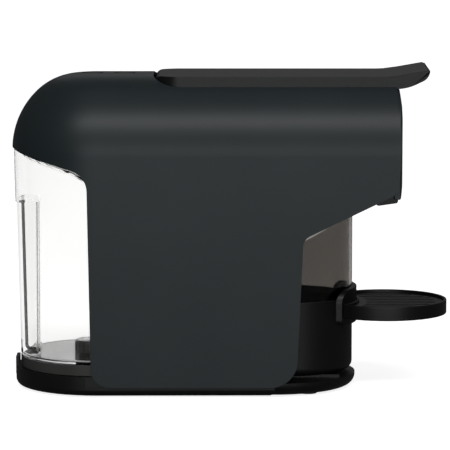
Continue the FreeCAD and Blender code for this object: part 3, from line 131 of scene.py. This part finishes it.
def makeLight():
    world = bpy.data.worlds.new("studio")
    world.use_nodes = True
    sky = world.node_tree.nodes["Background"]
    sky.inputs["Color"].default_value = (*stageDict["worldColor"], 1)
    sky.inputs["Strength"].default_value = stageDict["worldStrength"]
    bpy.context.scene.world = world
    for name, (place, aim, size, power, tint) in lightDict.items():
        makeSoftbox(name, place, aim, size, power, tint)


def makeCamera():
    cameraData = bpy.data.cameras.new("camera")
    cameraData.lens = stageDict["lens"]
    cameraData.sensor_width = stageDict["sensor"]
    camera = bpy.data.objects.new("camera", cameraData)
    bpy.context.scene.collection.objects.link(camera)
    elevation = math.radians(stageDict["cameraElevation"])
    away = Vector((0, -math.cos(elevation), math.sin(elevation))) * stageDict["cameraDistance"]
    target = Vector(stageDict["cameraTarget"])
    camera.location = target + away
    camera.rotation_euler = (-away).to_track_quat("-Z", "Y").to_euler()
    bpy.context.scene.camera = camera


makeStage()
makeLight()
makeCamera()
bpy.context.scene.view_settings.view_transform = "Standard"
print("stage, light and camera made")

# materials


def newMaterial(name):
    material = bpy.data.materials.new(name)
    material.use_nodes = True
    return material, material.node_tree, material.node_tree.nodes["Principled BSDF"]


def addNoise(tree, scale, detail=3.0, roughness=0.5):
    place = tree.nodes.new("ShaderNodeTexCoord")
    noise = tree.nodes.new("ShaderNodeTexNoise")
    noise.inputs["Scale"].default_value = scale
    noise.inputs["Detail"].default_value = detail
    noise.inputs["Roughness"].default_value = roughness
    tree.links.new(place.outputs["Object"], noise.inputs["Vector"])
    return noise


def mixColors(tree, factor, low, high, socket):
    ramp = tree.nodes.new("ShaderNodeValToRGB")
    ramp.color_ramp.elements[0].color = (*low, 1)
    ramp.color_ramp.elements[1].color = (*high, 1)
    ramp.color_ramp.elements[0].position = 0.35
    ramp.color_ramp.elements[1].position = 0.65
    tree.links.new(factor, ramp.inputs["Fac"])
    tree.links.new(ramp.outputs["Color"], socket)


def rangeRoughness(tree, factor, low, high, shader):
    spread = tree.nodes.new("ShaderNodeMapRange")
    spread.inputs["To Min"].default_value = low
    spread.inputs["To Max"].default_value = high
    tree.links.new(factor, spread.inputs["Value"])
    tree.links.new(spread.outputs["Result"], shader.inputs["Roughness"])


def addBump(tree, height, strength, distance, shader):
    bump = tree.nodes.new("ShaderNodeBump")
    bump.inputs["Strength"].default_value = strength
    bump.inputs["Distance"].default_value = distance
    tree.links.new(height, bump.inputs["Height"])
    tree.links.new(bump.outputs["Normal"], shader.inputs["Normal"])


def mouldedPlastic(name, dark, light, roughness, grain, grainScale, specular):
    # colour drifts softly over the part, fine grain in gloss and bump
    material, tree, shader = newMaterial(name)
    drift = addNoise(tree, 14.0, 2.0)
    mixColors(tree, drift.outputs["Fac"], dark, light, shader.inputs["Base Color"])
    fine = addNoise(tree, grainScale, 4.0, 0.6)
    rangeRoughness(tree, fine.outputs["Fac"], roughness - 0.05, roughness + 0.07, shader)
    addBump(tree, fine.outputs["Fac"], grain, 0.0002, shader)
    shader.inputs["Specular IOR Level"].default_value = specular
    return material


def clearPlastic(name, tint, roughness, ior):
    material, tree, shader = newMaterial(name)
    drift = addNoise(tree, 25.0, 2.0)
    deeper = tuple(channel * 0.985 for channel in tint)
    mixColors(tree, drift.outputs["Fac"], deeper, tint, shader.inputs["Base Color"])
    rangeRoughness(tree, drift.outputs["Fac"], roughness * 0.6, roughness * 1.4, shader)
    shader.inputs["Transmission Weight"].default_value = 1.0
    shader.inputs["IOR"].default_value = ior
    return material


def wornMetal(name, dark, light, roughness, stretch):
    material, tree, shader = newMaterial(name)
    noise = addNoise(tree, 60.0, 4.0, 0.7)
    mapping = tree.nodes.new("ShaderNodeMapping")
    mapping.inputs["Scale"].default_value = stretch
    place = tree.nodes.new("ShaderNodeTexCoord")
    tree.links.new(place.outputs["Object"], mapping.inputs["Vector"])
    tree.links.new(mapping.outputs["Vector"], noise.inputs["Vector"])
    mixColors(tree, noise.outputs["Fac"], dark, light, shader.inputs["Base Color"])
    rangeRoughness(tree, noise.outputs["Fac"], roughness, roughness + 0.15, shader)
    shader.inputs["Metallic"].default_value = 1.0
    return material


# name, darker colour, lighter colour, roughness, strength and scale of the grain, specular
plasticDict = {
    "painted": ("housingPaint", (0.0135, 0.0195, 0.0215), (0.0155, 0.022, 0.024), 0.40, 0.10, 900.0, 0.30),
    "panel": ("frontPanelPlastic", (0.013, 0.019, 0.021), (0.015, 0.0215, 0.0235), 0.36, 0.08, 900.0, 0.32),
    "black": ("blackPlastic", (0.0035, 0.0035, 0.0037), (0.0055, 0.0055, 0.0058), 0.38, 0.25, 1400.0, 0.30),
    "grey": ("greyPlastic", (0.035, 0.034, 0.032), (0.05, 0.049, 0.047), 0.42, 0.2, 1200.0, 0.4),
    "chassis": ("chassisPlastic", (0.045, 0.045, 0.048), (0.06, 0.06, 0.063), 0.5, 0.3, 1000.0, 0.4),
    "rubber": ("footRubber", (0.012, 0.012, 0.012), (0.02, 0.02, 0.02), 0.75, 0.4, 700.0, 0.2),
    "silicone": ("hoseSilicone", (0.5, 0.5, 0.48), (0.6, 0.6, 0.58), 0.5, 0.1, 500.0, 0.4),
    "board": ("boardLacquer", (0.01, 0.06, 0.025), (0.015, 0.09, 0.035), 0.35, 0.1, 800.0, 0.4),
}

# name, tint, roughness, index of refraction
clearDict = {
    "clear": ("clearTankPlastic", (0.96, 0.96, 0.955), 0.015, 1.18),
    "smoked": ("smokedPlastic", (0.25, 0.238, 0.226), 0.03, 1.2),
}

# name, darker colour, lighter colour, roughness, how the wear is stretched
metalDict = {
    "steel": ("brushedSteel", (0.45, 0.45, 0.46), (0.62, 0.62, 0.62), 0.28, (0.3, 6.0, 6.0)),
    "aluminium": ("castAluminium", (0.42, 0.42, 0.43), (0.6, 0.6, 0.6), 0.45, (1.0, 1.0, 1.0)),
    "brass": ("turnedBrass", (0.42, 0.30, 0.12), (0.62, 0.46, 0.2), 0.3, (1.0, 1.0, 8.0)),
}

finishes = {slot: mouldedPlastic(*values) for slot, values in plasticDict.items()}
finishes.update({slot: clearPlastic(*values) for slot, values in clearDict.items()})
finishes.update({slot: wornMetal(*values) for slot, values in metalDict.items()})
print("materials made:", len(finishes))

slotOfNode = {part["node"]: part["material_slot"] for part in frame["record"]["subparts"]}
bodies = frame["record"]["behaviour"]["bodies"]
bodyOfNode = {node: body for body, nodes in bodies.items() for node in nodes}

# shared modelling helpers


def drawOutline(bm, corners):
    # closed loop in the XY plane; a corner with a third value gets an arc of that radius
    runs = []
    for index, corner in enumerate(corners):
        here = Vector((corner[0], corner[1], 0))
        if len(corner) < 3:
            vert = bm.verts.new(here)
            runs.append((vert, vert))
            continue
        before = Vector((*corners[index - 1][:2], 0)) - here
        after = Vector((*corners[(index + 1) % len(corners)][:2], 0)) - here
        half = before.angle(after) / 2
        middle = (before.normalized() + after.normalized()).normalized()
        centre = here + middle * corner[2] / math.sin(half)
        start = bm.verts.new(here + before.normalized() * corner[2] / math.tan(half))
        sweep = math.pi - 2 * half
        side = -1 if before.cross(after).z > 0 else 1
        steps = max(3, int(sweep * 8 + corner[2] * sweep / (2.5 * mm)))  # finer on larger arcs
        arc = bmesh.ops.spin(bm, geom=[start], cent=centre, axis=(0, 0, side), angle=sweep,
                             steps=steps, dvec=(0, 0, 0))
        last = [item for item in arc["geom_last"] if isinstance(item, bmesh.types.BMVert)][0]
        runs.append((start, last))
    for index, (start, last) in enumerate(runs):
        bm.edges.new((runs[index - 1][1], start))
    bmesh.ops.remove_doubles(bm, verts=bm.verts, dist=0.01 * mm)


def movedVerts(made):
    return [item for item in made["geom"] if isinstance(item, bmesh.types.BMVert)]


def prism(corners, axis, low, high):
    # outline pushed along one axis; X outlines are (y, z), Y outlines (x, z), Z outlines (x, y)
    turned = {
        "X": Matrix(((0, 0, 1), (1, 0, 0), (0, 1, 0))),
        "Y": Matrix(((1, 0, 0), (0, 0, 1), (0, 1, 0))),
        "Z": Matrix.Identity(3),
    }[axis]
    bm = bmesh.new()
    drawOutline(bm, corners)
    bmesh.ops.contextual_create(bm, geom=bm.edges[:])
    made = bmesh.ops.extrude_face_region(bm, geom=bm.faces[:])
    bmesh.ops.translate(bm, vec=(0, 0, low), verts=bm.verts)
    bmesh.ops.translate(bm, vec=(0, 0, high - low), verts=movedVerts(made))
    bmesh.ops.transform(bm, matrix=turned.to_4x4(), verts=bm.verts)
    bmesh.ops.recalc_face_normals(bm, faces=bm.faces)
    return bm


def rectangle(left, right, near, far, leftRound, rightRound):
    # four corners for prism, each pair with its own radius
    return [(left, near, leftRound), (right, near, rightRound),
            (right, far, rightRound), (left, far, leftRound)]


def looseObject(name, bm):
    mesh = bpy.data.meshes.new(name)
    bm.to_mesh(mesh)
    bm.free()
    thing = bpy.data.objects.new(name, mesh)
    bpy.context.scene.collection.objects.link(thing)
    return thing


def carve(thing, cutterMesh, operation="DIFFERENCE"):
    # exact boolean, applied at once; the cutter is removed afterwards
    cutter = looseObject("cutter", cutterMesh)
    modifier = thing.modifiers.new("carve", "BOOLEAN")
    modifier.operation = operation
    modifier.object = cutter
    modifier.solver = "EXACT"
    applyModifiers(thing)
    bpy.data.objects.remove(cutter)


def applyModifiers(thing):
    bpy.context.view_layer.update()
    evaluated = thing.evaluated_get(bpy.context.evaluated_depsgraph_get())
    baked = bpy.data.meshes.new_from_object(evaluated)
    old = thing.data
    thing.modifiers.clear()
    thing.data = baked
    bpy.data.meshes.remove(old)


def tidyFaces(thing, flat=0.6):
    # drops doubles and the seams between faces that lie in one plane
    bm = bmesh.new()
    bm.from_mesh(thing.data)
    bmesh.ops.remove_doubles(bm, verts=bm.verts, dist=0.002 * mm)
    bmesh.ops.dissolve_degenerate(bm, edges=bm.edges, dist=0.002 * mm)
    bmesh.ops.dissolve_limit(bm, angle_limit=math.radians(flat), verts=bm.verts, edges=bm.edges)
    bm.to_mesh(thing.data)
    bm.free()


def softenEdges(thing, width, segments=3, angle=32):
    modifier = thing.modifiers.new("edge", "BEVEL")
    modifier.width = width
    modifier.segments = segments
    modifier.limit_method = "ANGLE"
    modifier.angle_limit = math.radians(angle)
    modifier.use_clamp_overlap = True
    modifier.loop_slide = False
    modifier.miter_outer = "MITER_ARC"
    applyModifiers(thing)


def shadeSmooth(thing, angle=38):
    for polygon in thing.data.polygons:
        polygon.use_smooth = True
    thing.data.set_sharp_from_angle(angle=math.radians(angle))
    weighted = thing.modifiers.new("flatFaces", "WEIGHTED_NORMAL")
    weighted.keep_sharp = True


def settle(thing, node, *others):
    # finish, motion and bookkeeping of a piece that stands for one or more CAD nodes
    shadeSmooth(thing)
    thing.data.materials.clear()
    thing.data.materials.append(finishes[slotOfNode[node]])
    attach(thing, bodyOfNode[node])
    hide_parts(node, *others)


# housing

housingDict = {
    "shoulderRun": 31.9 * mm,
    "lowShoulder": 61.0 * mm,
    "highShoulder": 47.0 * mm,
    "wall": 2.5 * mm,
    "legRear": -104.5 * mm,
    "legFront": 52.0 * mm,
    "kneeHeight": 119.5 * mm,
    "overhangHeight": 153.5 * mm,
    "domeEdgeRear": 182.4 * mm,
    "domeEdgeFront": 167.0 * mm,
    "windowCorner": 16.0 * mm,
    "rearFootRound": 14.0 * mm,
    "frontFootRound": 20.0 * mm,
    "kneeRound": 9.0 * mm,
    "noseHeight": 192.0 * mm,
    "noseRound": 90.0 * mm,
    "edgeRound": 0.55 * mm,
    "domeSteps": 72,
    "leverGap": 0.9 * mm,
    "slotRear": -57.2 * mm,
}


def domeEdgeAt(x):
    data = housingDict
    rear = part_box("main_housing")[0].x
    run = data["legRear"] - 1.5 * mm - rear
    slope = (data["domeEdgeFront"] - data["domeEdgeRear"]) / run
    return data["domeEdgeRear"] + slope * (x - rear)


def faceOutward(bm):
    bmesh.ops.recalc_face_normals(bm, faces=bm.faces)
    highest = max(bm.faces, key=lambda f: f.calc_center_median().z)
    if highest.normal.z < 0:
        bmesh.ops.reverse_faces(bm, faces=bm.faces)


def crownChain(bm, half, top, bottom, x):
    # half section seen from the front: crown, two shoulder arcs, side
    data = housingDict
    run = data["shoulderRun"]
    drawOutline(bm, [(0, bottom), (half, bottom), (half, top - run, data["lowShoulder"]),
                     (half - run, top, data["highShoulder"]), (0, top)])
    onMiddle = [e for e in bm.edges if all(v.co.x < 1e-6 for v in e.verts)]
    onFloor = [e for e in bm.edges if all(v.co.y < bottom + 1e-6 for v in e.verts)]
    spare = onMiddle + [e for e in onFloor if e not in onMiddle]
    bmesh.ops.delete(bm, geom=spare, context="EDGES")
    upright = Matrix(((0, 0, 1, x), (1, 0, 0, 0), (0, 1, 0, 0), (0, 0, 0, 1)))
    bmesh.ops.transform(bm, matrix=upright, verts=bm.verts)


def makeHousing():
    low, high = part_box("main_housing")
    data = housingDict
    half, top, bottom = high.y, high.z, 0.0
    domeX = low.x + half
    frontX = high.x + 0.2 * mm
    bm = bmesh.new()
    crownChain(bm, half, top, bottom, domeX)
    forward = bmesh.ops.extrude_edge_only(bm, edges=bm.edges[:])
    bmesh.ops.translate(bm, vec=(frontX - domeX, 0, 0), verts=movedVerts(forward))
    bmesh.ops.mirror(bm, geom=bm.verts[:] + bm.edges[:] + bm.faces[:], axis="Y", merge_dist=-1)
    rear = [e for e in bm.edges if all(abs(v.co.x - domeX) < 1e-7 and v.co.y > -1e-7 for v in e.verts)]
    bmesh.ops.spin(bm, geom=rear, cent=(domeX, 0, 0), axis=(0, 0, 1), dvec=(0, 0, 0),
                   angle=math.pi, steps=data["domeSteps"])
    bmesh.ops.remove_doubles(bm, verts=bm.verts, dist=0.01 * mm)
    faceOutward(bm)
    bmesh.ops.solidify(bm, geom=bm.faces[:], thickness=data["wall"])
    bmesh.ops.recalc_face_normals(bm, faces=bm.faces)
    shell = looseObject("housingShell", bm)
    rearX = low.x - 40 * mm
    above = 250 * mm
    sideOutline = [
        (data["legRear"] + 1.3 * mm, low.z, data["rearFootRound"]),
        (data["legFront"] - 3 * mm, low.z, data["frontFootRound"]),
        (data["legFront"] + 2.2 * mm, data["kneeHeight"], data["kneeRound"]),
        (high.x - 1.7 * mm, data["overhangHeight"], data["kneeRound"]),
        (high.x + 0.1 * mm, data["noseHeight"], data["noseRound"]),
        (high.x - 4.0 * mm, above), (rearX, above), (rearX, domeEdgeAt(rearX)),
        (data["legRear"] - 1.5 * mm, data["domeEdgeFront"], data["windowCorner"])]
    carve(shell, prism(sideOutline, "Y", -through, through), "INTERSECT")
    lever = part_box("lever_cover")
    slotHalf = lever[1].y + data["leverGap"]
    carve(shell, prism([(data["slotRear"], -slotHalf, 20 * mm), (0.2, -slotHalf), (0.2, slotHalf),
                        (data["slotRear"], slotHalf, 20 * mm)], "Z", 0.21, 0.26))
    for button in ("button_short", "button_long"):
        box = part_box(button)
        carve(shell, roundBar((box[0].x + box[1].x) / 2, 0, 0.22, 0.25, 8.0 * mm, 64))
    tidyFaces(shell, 0.2)
    softenEdges(shell, data["edgeRound"], 3)
    settle(shell, "main_housing")
    print("housing made:", len(shell.data.polygons), "faces")


def roundBar(x, y, low, high, radius, segments=48):
    bm = bmesh.new()
    bmesh.ops.create_circle(bm, cap_ends=True, segments=segments, radius=radius,
                            matrix=Matrix.Translation((x, y, low)))
    made = bmesh.ops.extrude_face_region(bm, geom=bm.faces[:])
    bmesh.ops.translate(bm, vec=(0, 0, high - low), verts=movedVerts(made))
    bmesh.ops.recalc_face_normals(bm, faces=bm.faces)
    return bm


makeHousing()

# pieces that keep the CAD form and get real, softened edges

softDict = {
    "front_panel": ("frontPanel", 0.6),
    "spout": ("spoutNose", 0.8),
    "base": ("basePlinth", 0.5),
    "bin_cup": ("binCup", 0.4),
    "tray_bracket": ("trayBracket", 1.6),
    "drip_tray": ("dripTray", 0.7),
    "tank_foot_ring": ("tankFootRing", 0.6),
    "tank_valve_body": ("tankValve", 0.4),
    "tank_lid": ("tankLid", 0.5),
    "button_short": ("shortButton", 0.6),
    "button_long": ("longButton", 0.6),
}


def softenedCopy(node, name, width):
    source = frame["nodes"][node]
    thing = bpy.data.objects.new(name, source.data.copy())
    bpy.context.scene.collection.objects.link(thing)
    tidyFaces(thing)
    softenEdges(thing, width * mm, 3)
    settle(thing, node)
    return thing


for node, (name, width) in softDict.items():
    softenedCopy(node, name, width)
print("softened pieces made:", len(softDict))

# lever

leverDict = {
    "rearX": -56.2 * mm,
    "lipStart": 118.0 * mm,
    "lipRise": 5.4 * mm,
    "undersideEnd": 131.0 * mm,
    "rearRound": 19.0 * mm,
    "frontRound": 8.0 * mm,
    "hollowRound": 6.0 * mm,
    "hollowRear": -30.0 * mm,
    "hollowFront": 116.0 * mm,
    "hollowHalf": 31.0 * mm,
    "hollowDeep": 4.4 * mm,
    "hollowStart": 10.0 * mm,
    "edgeRound": 1.6 * mm,
}


def makeLever():
    low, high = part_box("lever_cover")
    data = leverDict
    flat = high.z - data["lipRise"]
    under = low.z
    half = high.y
    lever = looseObject("leverPlate", prism([
        (data["rearX"], under, 3 * mm), (data["undersideEnd"], under, 34 * mm),
        (high.x - 0.4 * mm, under + 8 * mm, 9 * mm), (high.x - 0.2 * mm, high.z - 0.1 * mm, 2.2 * mm),
        (data["lipStart"], flat, 90 * mm), (data["rearX"], flat, 5 * mm)], "Y", -half, half))
    plan = rectangle(data["rearX"], high.x, -half, half, data["rearRound"], data["frontRound"])
    carve(lever, prism(plan, "Z", low.z - through, high.z + through), "INTERSECT")
    hollow = rectangle(data["hollowRear"], data["hollowFront"], -data["hollowHalf"], data["hollowHalf"],
                       data["hollowRound"], data["hollowRound"])
    # known fault: the plate's faces point inwards, so this adds a block under it and cuts no hollow
    carve(lever, prism(hollow, "Z", under - data["hollowStart"], under + data["hollowDeep"]))
    tidyFaces(lever, 0.2)
    softenEdges(lever, data["edgeRound"], 4)
    settle(lever, "lever_cover")
    print("lever made")


makeLever()

# drip grille

grilleDict = {
    "radius": 44.1 * mm,
    "bracketClear": 53.6 * mm,
    "bracketCentre": 44.4 * mm,
    "slots": 9,
    "pitch": 8.0 * mm,
    "slotHalf": 2.0 * mm,
    "rim": 5.5 * mm,
    "edgeRound": 0.35 * mm,
}


def makeGrille():
    low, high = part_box("drip_grille")
    data = grilleDict
    centreX = high.x - data["radius"]
    grille = looseObject("dripGrille", roundBar(centreX, 0, low.z, high.z, data["radius"], 96))
    carve(grille, roundBar(data["bracketCentre"], 0, 0, 0.2, data["bracketClear"], 128))
    reach = data["radius"] - data["rim"]
    for index in range(data["slots"]):
        y = data["pitch"] * (index - (data["slots"] - 1) / 2)
        half = math.sqrt(reach ** 2 - y ** 2)
        behind = data["bracketCentre"] + math.sqrt((data["bracketClear"] + data["rim"]) ** 2 - y ** 2)
        start = max(centreX - half, behind)
        endRound = data["slotHalf"] - 0.02 * mm
        left, right = y - data["slotHalf"], y + data["slotHalf"]
        slot = rectangle(start, centreX + half, left, right, endRound, endRound)
        carve(grille, prism(slot, "Z", low.z - through, high.z + through))
    softenEdges(grille, data["edgeRound"], 2)
    settle(grille, "drip_grille")
    print("grille made")


makeGrille()

# water tank

tankDict = {
    "draft": math.tan(math.radians(1.2)),
    "wall": 2.2 * mm,
    "radius": 60.0 * mm,
    "domeX": -99.5 * mm,
    "frontX": -94.2 * mm,
    "floorRound": 4.5 * mm,
    "cornerRound": 4.5 * mm,
    "fluteHalf": 15.0 * mm,
    "fluteTop": 141.0 * mm,
    "fluteFloor": -145.5 * mm,
    "fluteFlare": 4.5 * mm,
    "fluteTaper": 2.0 * mm,
    "fluteRound": 5.0 * mm,
    "rimGap": 0.8 * mm,
    "rimKink": -119.0 * mm,
    "rimRound": 0.7 * mm,
    "rimDrop": 42.0 * mm,
    "sideHalf": 61.3 * mm,
}


def tankForm(inset, low, top):
    # D in plan, wider towards the top, with a rounded foot
    data = tankDict
    radius = data["radius"] - inset
    front = data["frontX"] - inset
    rear = data["domeX"] - radius
    corner = data["cornerRound"] - inset
    plan = [(front, -radius, corner), (front, radius, corner),
            (rear, radius, radius), (rear, -radius, radius)]
    bm = prism(plan, "Z", low, top)
    foot = [e for e in bm.edges if all(v.co.z < low + 1e-6 for v in e.verts)]
    bmesh.ops.bevel(bm, geom=foot, offset=data["floorRound"] - inset, offset_type="OFFSET", segments=6,
                    profile=0.5, affect="EDGES", material=-1, clamp_overlap=True)
    for vert in bm.verts:
        outward = Vector((vert.co.x - data["domeX"], vert.co.y))
        if outward.length > 1e-6:
            vert.co.xy += outward.normalized() * (vert.co.z - low) * data["draft"]
    bmesh.ops.recalc_face_normals(bm, faces=bm.faces)
    return bm


def fluteForm(inset):
    data = tankDict
    half = data["fluteHalf"] + inset
    deep = data["fluteFloor"] + inset
    outside = data["domeX"] - data["radius"] - 20 * mm
    mouthHalf = half + data["fluteFlare"]
    floorHalf = half - data["fluteTaper"]
    bottom = data["fluteRound"]
    plan = [(outside, -mouthHalf), (deep, -floorHalf, bottom),
            (deep, floorHalf, bottom), (outside, mouthHalf)]
    return prism(plan, "Z", -0.01, data["fluteTop"] + inset)


def trimTank(thing, inset):
    half = tankDict["sideHalf"] - inset
    carve(thing, prism([(-0.2, -half), (0, -half), (0, half), (-0.2, half)], "Z", 0, 0.3), "INTERSECT")
    carve(thing, fluteForm(inset))


def makeTank():
    low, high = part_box("water_tank")
    data = tankDict
    tank = looseObject("waterTank", tankForm(0, low.z, 0.195))
    trimTank(tank, 0)
    inside = looseObject("tankInside", tankForm(data["wall"], low.z + data["wall"], 0.21))
    trimTank(inside, data["wall"])
    hollow = bmesh.new()
    hollow.from_mesh(inside.data)
    bpy.data.objects.remove(inside)
    carve(tank, hollow)
    kink = data["rimKink"]
    gap = data["rimGap"]
    behind, ahead, above = -180 * mm, -60 * mm, 300 * mm
    overRim = [(behind, domeEdgeAt(behind) - gap), (kink, domeEdgeAt(kink) - gap),
               (ahead, domeEdgeAt(kink) - data["rimDrop"]), (ahead, above), (behind, above)]
    carve(tank, prism(overRim, "Y", -through, through))
    tidyFaces(tank, 0.1)
    softenEdges(tank, data["rimRound"], 3, 45)
    settle(tank, "water_tank")
    print("tank made")


makeTank()

# smoked upper bin

binDict = {"wall": 2.0 * mm, "edgeRound": 0.5 * mm, "cornerRound": 4.0 * mm}


def makeBinShell():
    low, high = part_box("bin_smoked_shell")
    radius = high.y
    shell = looseObject("smokedBinShell", prism(
        [(low.x, -radius, binDict["cornerRound"]), (high.x, -radius, radius),
         (high.x, radius, radius), (low.x, radius, binDict["cornerRound"])],
        "Z", low.z, high.z + 20 * mm))
    slope = (housingDict["overhangHeight"] - housingDict["kneeHeight"]) / (
        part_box("main_housing")[1].x - 1.7 * mm - housingDict["legFront"] - 2.2 * mm)
    behind, ahead, above = -50 * mm, 150 * mm, 300 * mm
    overRim = [(behind, high.z + slope * (behind - high.x)), (ahead, high.z + slope * (ahead - high.x)),
               (ahead, above), (behind, above)]
    carve(shell, prism(overRim, "Y", -through, through))
    bm = bmesh.new()
    bm.from_mesh(shell.data)
    ends = [f for f in bm.faces if abs(f.normal.z) > 0.6]
    bmesh.ops.delete(bm, geom=ends, context="FACES")
    bmesh.ops.solidify(bm, geom=bm.faces[:], thickness=binDict["wall"])
    bmesh.ops.recalc_face_normals(bm, faces=bm.faces)
    bm.to_mesh(shell.data)
    bm.free()
    softenEdges(shell, binDict["edgeRound"], 2)
    settle(shell, "bin_smoked_shell")
    print("smoked bin shell made")


makeBinShell()

# CAD nodes that stay, with their finishes

for node, thing in frame["nodes"].items():
    thing.data.materials.clear()
    thing.data.materials.append(finishes[slotOfNode[node]])
print("CAD nodes finished")
